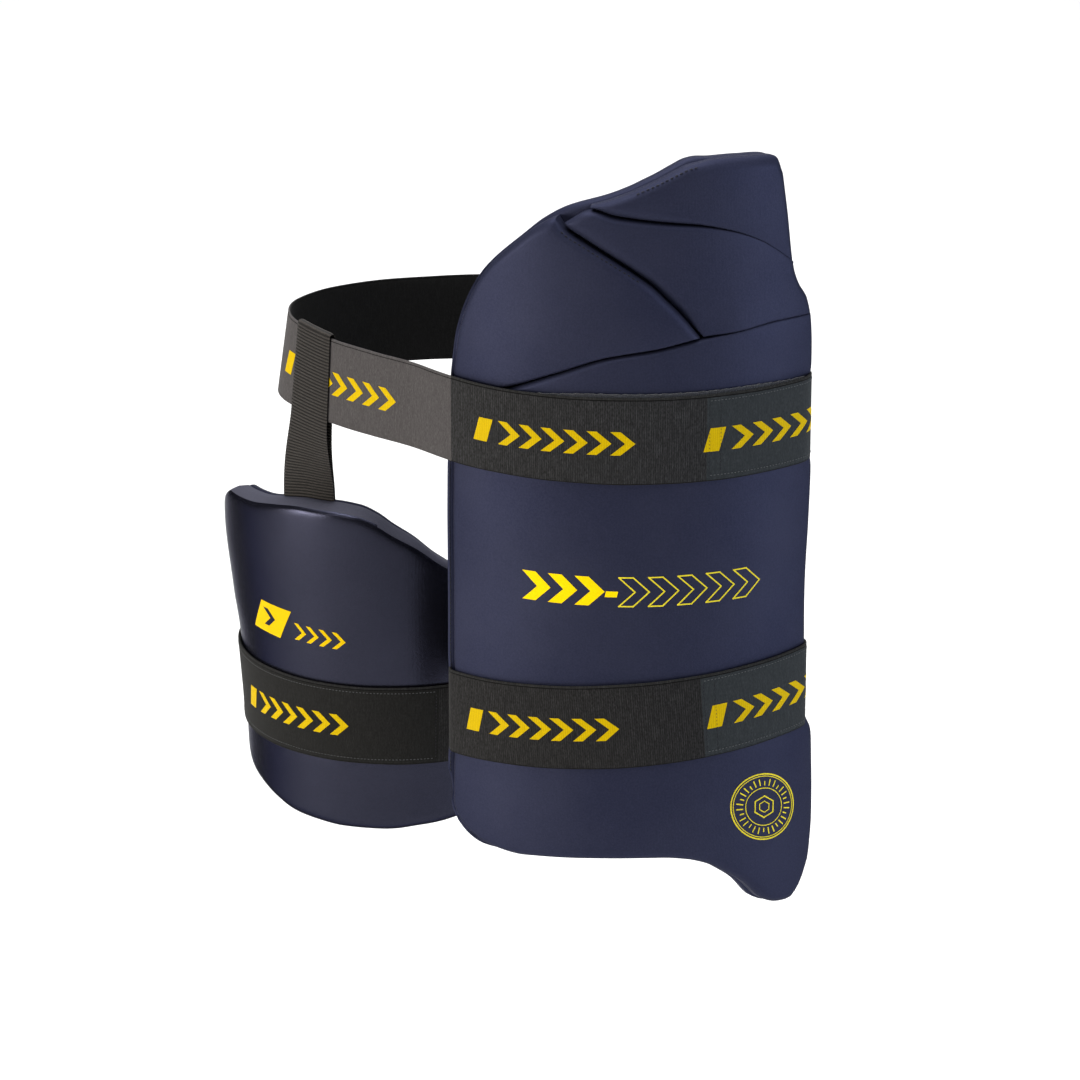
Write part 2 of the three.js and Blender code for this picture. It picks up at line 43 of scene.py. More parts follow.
# Driving sizes, as in the frame's part
clearance = 0.3
outer_axis = (50.0, -5.0)
outer_face_radius = 135.0
outer_half_width = 119.5
outer_rise = 155.0
outer_drop = 294.0
outer_back_thickness = 9.7
outer_panel_thickness = 11.0
outer_thickness = outer_back_thickness + clearance + outer_panel_thickness
back_face = outer_back_thickness - outer_thickness
wing_step = 2.0
panel_seam = 1.2
back_lip = 1.0
inner_axis_x = -87.0
inner_face_y = -30.0
inner_radius = 105.0
inner_top = -79.0
inner_height = 208.0
inner_forward = 0.08
inner_left_angle = -100.0
inner_right_angle = 47.0
inner_liner_thickness = 4.7
inner_panel_thickness = 14.0
inner_thickness = inner_liner_thickness + clearance + inner_panel_thickness
liner_face = inner_liner_thickness - inner_thickness
strap_width = 50.0
strap_thickness = 1.6
waist_left = 150.0
waist_back, waist_front = 107.0, 97.0
tab_start = 42.0
tab_tail = 60.0
patch_thickness = 0.9
patch_show = 2.5
patch_left, patch_right = -63.0, 108.0
outer_thigh_drop = 168.5
outer_thigh_slope = 0.078
outer_thigh_back = 25.0
inner_thigh_drop = 215.8
inner_tab_start, inner_tab_end = -98.0, 16.7
webbing_thickness = 1.4
webbing_angle = -33.0
webbing_reach = -131.0
tail_inset = 2.25

# Sizes that only the scene has, or that follow the photo where the part's own don't
held_left, held_right = 116.7, 118.0
waist_right = 149.0
outer_thigh_reach = 100.0
webbing_width = 38.0
webbing_foot_width = 36.5
joint = 0.03
press_inset = 1.0
press_softness = 1.6
pull_start, pull_softness = 0.8, 2.5
pad_knots, tab_knots = 10, 6
route_steps = 8001
tangent_reach = 0.5


def table(names, *rows):
    """A table's columns by name."""
    return dict(zip(names.split(), np.array(rows, float).T))


# Edges of the outer pad, bottom to top
OUTER_SIDES = table(
    "up left right",
    (-1.0, 0.99, 1.069), (-0.784, 0.995, 1.069), (-0.678, 0.995, 1.059), (-0.568, 0.991, 1.025),
    (-0.459, 0.989, 0.984), (-0.377, 0.987, 0.978), (-0.212, 0.989, 0.997), (-0.092, 0.985, 1.01),
    (0.265, 0.985, 0.998), (0.381, 0.985, 0.982), (0.445, 0.985, 0.962), (0.51, 0.985, 0.903),
    (0.567, 0.985, 0.872), (0.794, 0.985, 0.823), (1.0, 0.985, 0.773))

# Top and bottom of the outer pad, left to right
OUTER_ENDS = table(
    "across top bottom",
    (-1.0, 0.031, -0.736), (-0.985, 0.113, -0.781), (-0.962, 0.201, -0.808), (-0.923, 0.35, -0.83),
    (-0.845, 0.488, -0.851), (-0.75, 0.59, -0.864), (-0.566, 0.715, -0.871), (-0.467, 0.772, -0.868),
    (-0.336, 0.822, -0.864), (-0.113, 0.871, -0.859), (0.05, 0.915, -0.858), (0.16, 0.943, -0.859),
    (0.266, 0.972, -0.865), (0.363, 0.994, -0.878), (0.449, 1.0, -0.899), (0.561, 1.0, -0.932),
    (0.682, 0.999, -0.981), (0.769, 0.996, -0.996), (0.836, 0.994, -0.999), (0.911, 0.99, -0.976),
    (0.948, 0.986, -0.949), (0.977, 0.979, -0.921), (1.0, 0.937, -0.853))

# Seams between the outer pad's panels
BODY_SEAM = table(
    "across up",
    (-1.0, 0.05), (-0.566, 0.169), (-0.355, 0.232), (-0.105, 0.3), (0.14, 0.331), (0.34, 0.361),
    (0.532, 0.374), (0.754, 0.389), (1.0, 0.383))
WING_EDGE = table(
    "across up",
    (-0.37, 0.806), (-0.331, 0.767), (-0.233, 0.721), (-0.108, 0.665), (0.012, 0.609),
    (0.112, 0.562), (0.192, 0.505), (0.272, 0.436), (0.341, 0.369))
TOP_GROOVE = table(
    "across up",
    (-0.331, 0.784), (-0.2, 0.833), (-0.081, 0.81), (0.163, 0.789), (0.39, 0.773), (0.594, 0.742),
    (0.758, 0.697), (0.875, 0.647), (0.942, 0.612), (1.0, 0.581))

# Face and ends of the inner pad
INNER_FLARE = table(
    "down radius",
    (0.0, 0.986), (0.17, 0.98), (0.385, 0.938), (0.483, 0.91), (0.615, 0.89), (0.75, 0.874), (1.0, 0.868))
INNER_ENDS = table(
    "across top bottom",
    (-1.0, 0.25, 0.712), (-0.96, 0.158, 0.785), (-0.89, 0.115, 0.844), (-0.8, 0.084, 0.893),
    (-0.67, 0.05, 0.93), (-0.52, 0.038, 0.949), (-0.38, 0.029, 0.968), (-0.22, 0.012, 0.988),
    (-0.06, 0.0, 0.995), (0.08, 0.0, 1.0), (0.2, 0.007, 1.0), (0.29, 0.028, 1.0), (0.37, 0.06, 0.998),
    (0.48, 0.101, 0.99), (0.58, 0.15, 0.985), (0.7, 0.2, 0.975), (0.8, 0.255, 0.956),
    (0.91, 0.32, 0.912), (0.97, 0.38, 0.854), (1.0, 0.44, 0.785))

# Free runs of the straps
WAIST_RUN = table(
    "side depth lean",
    (-0.483, -0.753, 0), (-0.633, -0.546, -0.03), (-0.796, -0.289, -0.06), (-0.932, 0.027, -0.1),
    (-0.986, 0.196, -0.13), (-1.0, 0.366, -0.14), (-0.975, 0.51, -0.1), (-0.857, 0.71, 0.02),
    (-0.7, 0.845, 0.14), (-0.517, 0.925, 0.22), (-0.231, 0.985, 0.28), (0.258, 1.0, 0.24),
    (0.645, 0.86, 0.12), (0.935, 0.46, 0.04), (1.0, -0.103, 0), (1.0, -0.66, 0))
THIGH_RUN = table(
    "side depth lean",
    (-0.95, -0.5, 0), (-0.84, -0.25, 0), (-0.54, -0.03, 0), (-0.1, 1.0, 0), (0.5, 1.0, 0),
    (0.9, -0.1, 0), (1.0, -0.46, 0))

# Middle of a strap where it goes round the outer pad's border
STRAP_WRAP = table("arc height", (113.4, 0.4), (117.6, -2.5), (120.4, -6.5), (121.7, -11.0))
wrap_start = 107.0


def smooth(columns, key, value):
    """A smooth curve through a table's rows that never overshoots them."""
    xs, ys = columns[key], columns[value]
    slopes = np.diff(ys) / np.diff(xs)
    before = np.concatenate([slopes[:1], slopes])
    after = np.concatenate([slopes, slopes[-1:]])
    turning = before * after <= 0
    total = np.where(turning, 1.0, before + after)
    tangents = np.where(turning, 0.0, 2 * before * after / total)

    def at(place):
        x = np.clip(place, xs[0], xs[-1])
        i = np.clip(np.searchsorted(xs, x) - 1, 0, len(slopes) - 1)
        span = xs[i + 1] - xs[i]
        t = (x - xs[i]) / span
        s = 1 - t
        ends = ys[i] * (1 + 2 * t) * s * s + ys[i + 1] * (1 + 2 * s) * t * t
        return ends + span * (tangents[i] * t * s * s - tangents[i + 1] * s * t * t)

    return at


def outer_height(columns, value):
    share = smooth(columns, "across", value)

    def at(across):
        up = share(across)
        return up * np.where(up > 0, outer_rise, outer_drop)

    return at


outer_top = outer_height(OUTER_ENDS, "top")
outer_bottom = outer_height(OUTER_ENDS, "bottom")
body_seam = outer_height(BODY_SEAM, "up")
wing_edge = outer_height(WING_EDGE, "up")
top_groove = outer_height(TOP_GROOVE, "up")
left_share = smooth(OUTER_SIDES, "up", "left")
right_share = smooth(OUTER_SIDES, "up", "right")
wing_corner, wing_point = WING_EDGE["across"][0], WING_EDGE["across"][-1]
middle_tip, top_tip = TOP_GROOVE["across"][0], TOP_GROOVE["across"][1]


def thigh_height(x):
    return outer_thigh_slope * (x - outer_axis[0]) - outer_thigh_drop


def band_press(z, middle, softness):
    """From 0 away from a strap to 1 under it."""
    return 1 / (1 + np.exp((abs(z - middle) - (strap_width / 2 - press_inset)) / softness))


def under_straps(arc, z, softness):
    """From 0 away from the outer pad's straps to 1 under one of them."""
    x = outer_axis[0] + outer_face_radius * np.sin(arc / outer_face_radius)
    return sum(band_press(z, middle, softness) for middle in (0, thigh_height(x)))


def ramp_up(value, start, end):
    """A soft step from 0 at the start to 1 at the end."""
    t = np.clip((value - start) / (end - start), 0, 1)
    return t * t * (3 - 2 * t)


def outer_arc(across, z):
    """Length round the outer pad's face from its middle line. Straps pull its borders in a little."""
    up = z / np.where(z > 0, outer_rise, outer_drop)
    border = np.where(across < 0, left_share(up), right_share(up)) * outer_half_width
    held = np.where(across < 0, held_left, held_right)
    pull = np.clip(border - held, 0, None) * under_straps(across * border, z, pull_softness)
    return across * (border - pull * ramp_up(abs(across), pull_start, 1))


def on_outer(arc, z, height):
    """A point on the outer pad at an arc length and a height above its face."""
    angle = np.asarray(arc) / outer_face_radius
    radius = outer_face_radius + height
    x = outer_axis[0] + radius * np.sin(angle)
    y = outer_axis[1] - radius * np.cos(angle)
    return np.stack(np.broadcast_arrays(x, y, z), axis=-1)


inner_middle = (inner_left_angle + inner_right_angle) / 2
inner_half_angle = (inner_right_angle - inner_left_angle) / 2
inner_flare = smooth(INNER_FLARE, "down", "radius")
inner_top_share = smooth(INNER_ENDS, "across", "top")
inner_bottom_share = smooth(INNER_ENDS, "across", "bottom")


def on_inner(degrees, z, height):
    """A point on the inner pad at an angle and a height above its face."""
    angle = np.radians(degrees)
    down = (inner_top - z) / inner_height
    face = inner_radius * inner_flare(down)
    centre_y = inner_face_y + (inner_top - z) * inner_forward + face
    radius = face + height
    x = inner_axis_x + radius * np.sin(angle)
    y = centre_y - radius * np.cos(angle)
    return np.stack(np.broadcast_arrays(x, y, z), axis=-1)


def closed_curve(points, t, even):
    """A closed Catmull-Rom curve through points: with even spacing of its knots, or centripetal."""
    count = len(points)
    place = t * count
    index = np.floor(place).astype(int)
    w = (place - index)[:, None]
    p0, p1, p2, p3 = (points[(index + k) % count] for k in (-1, 0, 1, 2))
    if even:
        t1, t2 = (p2 - p0) / 2, (p3 - p1) / 2
    else:
        pairs = ((p0, p1), (p1, p2), (p2, p3))
        d0, d1, d2 = (np.sum((b - a) ** 2, axis=1)[:, None] ** 0.25 for a, b in pairs)
        t1 = ((p1 - p0) / d0 - (p2 - p0) / (d0 + d1) + (p2 - p1) / d1) * d1
        t2 = ((p2 - p1) / d1 - (p3 - p1) / (d1 + d2) + (p3 - p2) / d2) * d1
    return p1 + t1 * w + (3 * p2 - 3 * p1 - 2 * t1 - t2) * w ** 2 + (2 * p1 - 2 * p2 + t1 + t2) * w ** 3


def unit(vectors):
    return vectors / np.linalg.norm(vectors, axis=-1, keepdims=True)


def lengths_along(line):
    """The length from a line's first point to each of its points."""
    return np.concatenate([[0], np.cumsum(np.linalg.norm(np.diff(line, axis=0), axis=1))])


def between(at, places, points):
    """Points at some lengths along a line, from its own points and their lengths."""
    return np.stack([np.interp(at, places, column) for column in points.T], axis=-1)


class Strap:
    """A strap's closed route, with the place of any point on it from its distance, width and height."""

    def __init__(self, radius, run_x, run_y, run_lean, height, wraps_left):
        lower_edge = height(outer_axis[0] + outer_half_width) - strap_width / 2
        pad_edge = right_share(lower_edge / outer_drop) * outer_half_width
        self.right_edge = (pad_edge - tail_inset) / outer_face_radius
        self.seam = tab_start / outer_face_radius
        self.radius = radius
        pad_end = wrap_start if wraps_left else outer_half_width
        over_pad = np.linspace(self.seam, -pad_end / outer_face_radius, pad_knots)
        over_tab = np.linspace(wrap_start / outer_face_radius, self.seam, tab_knots)[:-1]
        wrap = STRAP_WRAP["arc"] / outer_face_radius
        wrap_radius = outer_face_radius + STRAP_WRAP["height"]
        left = slice(None) if wraps_left else slice(0)

        def on_pad(angles, radii):
            return outer_axis[0] + radii * np.sin(angles), outer_axis[1] - radii * np.cos(angles)

        before = on_pad(
            np.append(over_pad, -wrap[left]), np.append(radius + 0 * over_pad, wrap_radius[left]))
        after = on_pad(
            np.append(wrap[::-1], over_tab), np.append(wrap_radius[::-1], radius + 0 * over_tab))
        x, y = (np.concatenate(columns) for columns in zip(before, (run_x, run_y), after))
        lean = np.concatenate([0 * before[0], run_lean, 0 * after[0]])
        t = np.linspace(0, 1, route_steps)
        self.line = closed_curve(np.stack([x, y, height(x)], axis=1), t, False)
        self.lean = closed_curve(lean[:, None], t, True)[:, 0]
        self.places = lengths_along(self.line)
        self.length = self.places[-1]
        self.tab_length = radius * (self.right_edge - self.seam) + tab_tail

    def along(self, distance):
        return between(np.mod(distance, self.length), self.places, self.line)

    def at_arc(self, arc):
        """The distance along the route at an arc length round the outer pad's face."""
        return self.radius * (self.seam - arc / outer_face_radius)

    def point(self, distance, across, height):
        distance = np.asarray(distance, float)
        tangent = unit(self.along(distance + tangent_reach) - self.along(distance - tangent_reach))
        outward = unit(np.cross((0, 0, 1), tangent))
        lean = np.interp(np.mod(distance, self.length), self.places, self.lean)[..., None]
        wide = unit(np.cross(outward, tangent))
        wide = np.where(wide[..., 2:] < 0, -wide, wide)
        wide = unit(wide + outward * lean)
        thick = unit(np.cross(tangent, wide))
        inward = np.sum(thick * outward, axis=-1, keepdims=True) < 0
        thick = np.where(inward, -thick, thick)
        across, height = np.asarray(across)[..., None], np.asarray(height)[..., None]
        return self.along(distance) + wide * across + thick * height


strap_over_panel = outer_face_radius + clearance + strap_thickness / 2
side, depth = WAIST_RUN["side"], WAIST_RUN["depth"]
waist = Strap(
    strap_over_panel + patch_thickness + clearance,
    side * np.where(side < 0, waist_left, waist_right),
    depth * np.where(depth < 0, waist_front, waist_back),
    WAIST_RUN["lean"],
    lambda x: 0 * x,
    False)
side, depth = THIGH_RUN["side"], THIGH_RUN["depth"]
thigh = Strap(
    strap_over_panel,
    outer_axis[0] + side * outer_thigh_reach,
    outer_axis[1] + depth * np.where(depth < 0, outer_face_radius, outer_thigh_back),
    THIGH_RUN["lean"],
    thigh_height,
    True)


inner_degree = math.radians(1) * inner_radius


def inner_strap(arc, across, height):
    """A point of the inner thigh strap, from an arc length round the inner pad's face."""
    return on_inner(arc / inner_degree, across - inner_thigh_drop, clearance + strap_thickness / 2 + height)


# Materials
class Paint:
    """A Principled material and short ways to add nodes to it. Sizes are in millimetres."""

    def __init__(self, name, roughness, **settings):
        self.material = bpy.data.materials.new(name)
        self.material.use_nodes = True
        self.tree = self.material.node_tree
        self.shader = self.tree.nodes["Principled BSDF"]
        for socket, value in {"Roughness": roughness, **settings}.items():
            self.shader.inputs[socket.replace("_", " ")].default_value = value
        self.object_place = self.add("ShaderNodeTexCoord").outputs["Object"]
        uv = self.add("ShaderNodeSeparateXYZ", self.add("ShaderNodeTexCoord").outputs["UV"])
        self.along, self.across = uv.outputs["X"], uv.outputs["Y"]

    def add(self, kind, *inputs, **settings):
        node = self.tree.nodes.new(kind)
        for key, value in settings.items():
            setattr(node, key, value)
        for socket, value in zip(node.inputs, inputs):
            self.put(socket, value)
        return node

    def put(self, socket, value):
        if isinstance(value, bpy.types.NodeSocket):
            self.tree.links.new(value, socket)
        else:
            socket.default_value = value

    def math(self, operation, *values):
        return self.add("ShaderNodeMath", *values, operation=operation).outputs[0]

    def times(self, first, second):
        return self.math("MULTIPLY", first, second)

    def scaled(self, value, share, start):
        return self.math("MULTIPLY_ADD", value, share, start)

    def blend(self, first, share, second):
        """A share of the first value and the rest of the second."""
        return self.math("ADD", self.times(first, share), self.times(second, 1 - share))

    def wave(self, place, pitch, phase=0.0):
        """A wave from 0 to 1 along a coordinate."""
        turn = self.scaled(place, 2 * math.pi / pitch, phase)
        return self.scaled(self.math("SINE", turn), 0.5, 0.5)

    def spots(self, place, low, high, detail, roughness=0.5):
        """Noise at a place, stretched so that two levels of it become 0 and 1."""
        node = self.add("ShaderNodeTexNoise", place)
        for socket, value in (("Scale", 1.0), ("Detail", detail), ("Roughness", roughness)):
            node.inputs[socket].default_value = value
        return self.add("ShaderNodeMapRange", node.outputs["Fac"], low, high).outputs[0]

    def noise(self, size, low, high, detail=2, roughness=0.7):
        """Spots of a size in the object's own place."""
        scale = (1 / (size * MM),) * 3
        place = self.add("ShaderNodeVectorMath", self.object_place, scale, operation="MULTIPLY")
        return self.spots(place.outputs[0], low, high, detail, roughness)

    def cloth_noise(self, along, across, low, high, detail=2):
        """Spots of two sizes, along the cloth and across it."""
        shares = (self.math("DIVIDE", self.along, along), self.math("DIVIDE", self.across, across))
        place = self.add("ShaderNodeCombineXYZ", *shares)
        return self.spots(place.outputs[0], low, high, detail)

    def mix(self, factor, first, second):
        node = self.add("ShaderNodeMix", data_type="RGBA")
        self.put(node.inputs[0], factor)
        for socket, colour in ((node.inputs[6], first), (node.inputs[7], second)):
            self.put(socket, colour if isinstance(colour, bpy.types.NodeSocket) else (*colour, 1))
        return node.outputs[2]

    def finish(self, colour, height, depth):
        """The material with its colour and a relief from a height of 0 to 1, of a depth in millimetres."""
        self.put(self.shader.inputs["Base Color"], colour)
        bump = self.add("ShaderNodeBump")
        bump.inputs["Strength"].default_value = 1.0
        bump.inputs["Distance"].default_value = depth * MM
        self.put(bump.inputs["Height"], height)
        self.put(self.shader.inputs["Normal"], bump.outputs[0])
        return self.material


def tinted(colour, share):
    return tuple(c * share for c in colour)


def grey(level):
    return (level, level, level)


def pad_cloth(name, dark, light, roughness, satin):
    """Satin knit drawn over foam: soft clouds of colour, a fine knit and a sheen without a bright rim."""
    tint = (0.25, 0.25, 0.3, 1)
    paint = Paint(name, roughness, Metallic=satin, Specular_IOR_Level=0.05, Specular_Tint=tint)
    clouds = paint.noise(size=60, low=0.3, high=0.7, detail=3, roughness=0.5)
    specks = paint.noise(size=1.1, low=0.35, high=0.7)
    knit = paint.times(paint.wave(paint.along, pitch=0.85), paint.wave(paint.across, pitch=0.6))
    base = paint.mix(clouds, dark, light)
    flecked = paint.mix(paint.times(specks, 0.3), base, tinted(light, 1.5))
    colour = paint.mix(paint.times(knit, 0.15), flecked, tinted(dark, 0.5))
    return paint.finish(colour, paint.blend(knit, 0.5, specks), depth=0.05)


def elastic_cloth(name, dark, light, rib, relief, ply=0.75):
    """Woven elastic: ribs across the band, crossed by fine yarns. Its colour follows the relief, lighter on
    the rib tops and darker in the grooves: partly painted highlight and shade.
    """
    paint = Paint(name, 0.85, Specular_IOR_Level=0.1, Sheen_Weight=0.03, Sheen_Roughness=0.5)
    ribs = paint.wave(paint.along, rib)
    yarns = paint.wave(paint.across, ply, phase=0.4)
    fluff = paint.cloth_noise(along=0.5, across=1.6, low=0.3, high=0.75)
    streaks = paint.cloth_noise(along=1.3, across=9, low=0.3, high=0.7)
    flecks = paint.cloth_noise(along=0.9, across=3.2, low=0.35, high=0.65, detail=1)
    woven = paint.times(ribs, paint.scaled(yarns, 0.5, 0.5))
    broken = paint.times(woven, paint.scaled(flecks, 0.75, 0.25))
    level = paint.blend(broken, 0.55, fluff)
    toned = paint.times(level, paint.scaled(streaks, 0.7, 0.6))
    return paint.finish(paint.mix(toned, dark, light), level, relief)


def webbing_cloth(name, dark, light):
    """Webbing with yarns that run over the ribs modelled in its mesh, coloured light on the rib tops and
    dark between them: painted highlight and shade.
    """
    paint = Paint(name, 0.7, Specular_IOR_Level=0.15, Sheen_Weight=0.04, Sheen_Roughness=0.4)
    yarns = paint.wave(paint.across, pitch=0.9)
    ribs = paint.wave(paint.along, WEBBING_RIB, -math.pi / 2)
    level = paint.blend(yarns, 0.5, paint.cloth_noise(along=0.6, across=0.6, low=0.3, high=0.7))
    return paint.finish(paint.mix(paint.times(level, ribs), dark, light), level, depth=0.12)


def pile_cloth(name, dark, light):
    """Loop pile: a felted, broken surface."""
    paint = Paint(name, 0.95, Specular_IOR_Level=0.1, Sheen_Weight=0.3, Sheen_Roughness=0.6)
    tufts = paint.noise(size=0.9, low=0.3, high=0.7, detail=3)
    return paint.finish(paint.mix(tufts, dark, light), tufts, depth=0.3)


def thread(name, dark, light):
    """Twisted sewing thread."""
    paint = Paint(name, 0.55, Specular_IOR_Level=0.2)
    twist = paint.wave(paint.math("ADD", paint.along, paint.across), pitch=0.35)
    return paint.finish(paint.mix(twist, dark, light), twist, depth=0.04)


def ink(name, colour, rib=None):
    """Flat print, broken a little by the cloth under it."""
    paint = Paint(name, 0.6, Specular_IOR_Level=0.05)
    wear = paint.noise(size=0.7, low=0.25, high=0.7)
    toned = paint.mix(wear, tinted(colour, 0.82), colour)
    if rib:
        ribs = paint.wave(paint.along, rib)
        toned = paint.mix(paint.scaled(ribs, -0.3, 0.3), toned, tinted(colour, 0.5))
        wear = paint.times(ribs, wear)
    return paint.finish(toned, wear, depth=0.05)


RIB = 1.27
PLAIN_RIB = 0.7
WEBBING_RIB = 1.9
COVER = pad_cloth("pad_cover", (0.0195, 0.022, 0.044), (0.026, 0.0285, 0.052), 0.53, 0.45)
INNER_COVER = pad_cloth("pad_cover_inner", (0.022, 0.023, 0.036), (0.026, 0.027, 0.042), 0.27, 0.85)
# Lighter copy of the inner pad's cover for its top bevel: painted light on the top face
INNER_TOP_PAINTED_LIGHT = pad_cloth("pad_cover_inner_top_painted_light", (0.05, 0.051, 0.07), (0.058, 0.059, 0.08), 0.6, 0.2)
LINER = pad_cloth("pad_liner", (0.012, 0.013, 0.026), (0.018, 0.019, 0.034), 0.7, 0.1)
ELASTIC = elastic_cloth("elastic_ribbed", grey(0.004), (0.048, 0.048, 0.051), RIB, 0.2)
# Darker copy of the ribbed elastic for the thigh straps: painted shade on the lower straps
THIGH_ELASTIC_SHADED = elastic_cloth("thigh_elastic_painted_shade", grey(0.003), (0.037, 0.036, 0.037), RIB, 0.2)
# Plain elastic of the waist strap's free run: a finer weave, and lighter as painted light on the free run
PLAIN_PAINTED_LIGHT = elastic_cloth("elastic_plain_painted_light", (0.038, 0.035, 0.036), (0.092, 0.086, 0.087), 0.62, 0.05, 0.5)
SHADE = elastic_cloth("elastic_inside", grey(0.001), grey(0.008), PLAIN_RIB, 0.06, 0.5)
TAB = elastic_cloth("tab_cloth", (0.014, 0.017, 0.019), (0.041, 0.046, 0.05), PLAIN_RIB, 0.05, 0.5)
# Darker cloth for the inner thigh strap's tab: its darkness is painted shade
INNER_TAB_SHADED = elastic_cloth(
    "inner_tab_cloth_painted_shade", (0.005, 0.005, 0.0047), (0.019, 0.019, 0.0185), PLAIN_RIB, 0.05, 0.5)
SELVEDGE = elastic_cloth("selvedge", grey(0.007), grey(0.036), 0.9, 0.1)
# Near-black cloth in the selvedge groove and along each strap's lower edge: painted shade in the groove and
# a painted contact shadow
GROOVE_SHADE = elastic_cloth("selvedge_groove_painted_shade", grey(0.001), grey(0.003), 0.9, 0.05)
# Webbing coloured light on its rib tops and dark between them: painted highlight and shade
SHADED_WEBBING = webbing_cloth("webbing", (0.003, 0.0027, 0.0025), (0.064, 0.056, 0.051))
PILE = pile_cloth("loop_pile", (0.005, 0.006, 0.009), (0.035, 0.039, 0.052))
THREAD = thread("thread_grey", (0.03, 0.032, 0.034), (0.1, 0.105, 0.11))
DARK_THREAD = thread("thread_dark", (0.002, 0.002, 0.004), (0.01, 0.01, 0.016))
INK = ink("print_on_cover", (1.0, 0.68, 0.0))
INNER_INK = ink("print_on_inner_cover", (0.72, 0.47, 0.0))
THIN_INK = ink("thin_print", (0.75, 0.62, 0.03))
STRAP_INK = ink("print_on_strap", (0.6, 0.41, 0.0), RIB)
NAVY_INK = ink("dark_print", (0.01, 0.012, 0.03))


# Meshes
crease = 50
EDGE_STEPS = np.array([0, 0.12, 0.35, 0.7, 1.2, 1.8, 2.5, 3.4, 4.5, 5.8, 7.4, 9.5])
edge_share = 0.45


def outward(points, faces):
    """The faces of a closed body, turned over where they look inwards."""
    volume = 0.0
    for corners in (faces[:, (0, 1, 2)], faces[:, (0, 2, 3)]):
        a, b, c = (points[corners[:, k]] for k in range(3))
        volume += np.sum(a * np.cross(b, c))
    return faces if volume >= 0 else faces[:, ::-1]


def add_piece(name, shape, materials, slot, nodes=(), indices=None):
    """A closed body on the frame, from its points, its faces of four corners and its places on the cloth."""
    points, faces, uv = shape
    faces = outward(points, faces)
    mesh = bpy.data.meshes.new(name)
    mesh.from_pydata((points * MM).tolist(), [], faces.tolist())
    layer = mesh.uv_layers.new(name="cloth")
    corners = np.zeros(len(mesh.loops), int)
    mesh.loops.foreach_get("vertex_index", corners)
    layer.data.foreach_set("uv", uv[corners].ravel())
    for material in materials:
        mesh.materials.append(material)
    if indices is not None:
        mesh.polygons.foreach_set("material_index", np.asarray(indices, int))
    mesh.polygons.foreach_set("use_smooth", [True] * len(faces))
    mesh.set_sharp_from_angle(angle=math.radians(crease))
    mesh.update()
    piece = bpy.data.objects.new(name, mesh)
    bpy.context.scene.collection.objects.link(piece)
    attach(piece, "root")
    if nodes:
        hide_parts(*nodes)


def slab(front, rear, flat):
    """A closed slab between two grids, and for each face 0 on the front, 1 on the rear or 2 on the rim."""
    n, m = front.shape[:2]
    points = np.concatenate([front.reshape(-1, 3), rear.reshape(-1, 3)])
    i, k = np.meshgrid(np.arange(n - 1), np.arange(m - 1), indexing="ij")
    a = (i * m + k).ravel()
    top = np.stack([a, a + m, a + m + 1, a + 1], axis=1)
    bottom = top[:, ::-1] + n * m
    rim = np.concatenate([
        np.arange(m - 1), (np.arange(n - 1) * m) + m - 1,
        (n * m - 1) - np.arange(m - 1), (np.arange(n - 1, 0, -1) * m)])
    following = np.roll(rim, -1)
    walls = np.stack([rim, following, following + n * m, rim + n * m], axis=1)
    kinds = np.repeat([0, 1, 2], [len(top), len(bottom), len(walls)])
    return (points, np.concatenate([top, bottom, walls]), np.tile(flat.reshape(-1, 2), (2, 1))), kinds


def edged_steps(low, high, step, corners=()):
    """Places from low to high, close together near both ends, with the corners between them kept."""
    edge = EDGE_STEPS * min(1, (high - low) * edge_share / EDGE_STEPS[-1])
    count = max(int((high - low - 2 * edge[-1]) / step), 2) + 1
    middle = np.linspace(low + edge[-1], high - edge[-1], count)
    places = np.concatenate([low + edge[:-1], middle, high - edge[:-1]])
    for corner in corners:
        if low < corner < high:
            places[np.argmin(abs(places - corner))] = corner
    return np.unique(places)


def column_rows(lows, highs, rows):
    """Heights in each column, close together near both ends, with even rows between them."""
    edge = EDGE_STEPS * np.minimum(1, (highs - lows) * edge_share / EDGE_STEPS[-1])[:, None]
    start = lows[:, None] + edge
    end = highs[:, None] - edge[:, ::-1]
    inside = np.linspace(0, 1, rows + 1)[1:-1]
    middle = start[:, -1:] + (end[:, :1] - start[:, -1:]) * inside
    return np.concatenate([start, middle, end], axis=1)


def line_distance(flat, line):
    """Distance of each point from a line of points, on the flat."""
    best = np.full(flat.shape[:-1], np.inf)
    for a, b in zip(line[:-1], line[1:]):
        along = b - a
        t = np.clip(((flat - a) @ along) / max(along @ along, 1e-9), 0, 1)
        best = np.minimum(best, np.linalg.norm(flat - a - t[..., None] * along, axis=-1))
    return best


def nearest(flat, lines):
    return np.min([line_distance(flat, line) for line in lines], axis=0)


def rounded(distance, width):
    """Drop of a round edge, from 1 at the edge to 0 at its width inside it."""
    t = np.clip(distance / width, 0, 1)
    return 1 - np.sqrt(np.clip(1 - (1 - t) ** 2, 0, 1))


def bevelled(distance, width, softness):
    """Drop of a bevel with a soft crease, from 1 at the edge to 0 inside it."""
    ramp = (width - distance + np.sqrt((width - distance) ** 2 + softness ** 2)) / 2
    return ramp / ((width + math.sqrt(width ** 2 + softness ** 2)) / 2)


def plain_edge(width, deep):
    return lambda distance, flat: deep * rounded(distance, width)


def changing_edge(first, second, start, end):
    """An edge roll that goes from one width and depth to another between two arc lengths."""
    def profile(distance, flat):
        t = ramp_up(flat[..., 0], start, end)
        width, deep = (a + (b - a) * t for a, b in zip(first, second))
        return deep * rounded(distance, width)
    return profile


def outline(flat):
    """The four edges of a panel's grid as flat lines."""
    return {"low": flat[:, 0], "high": flat[:, -1], "start": flat[0], "end": flat[-1]}


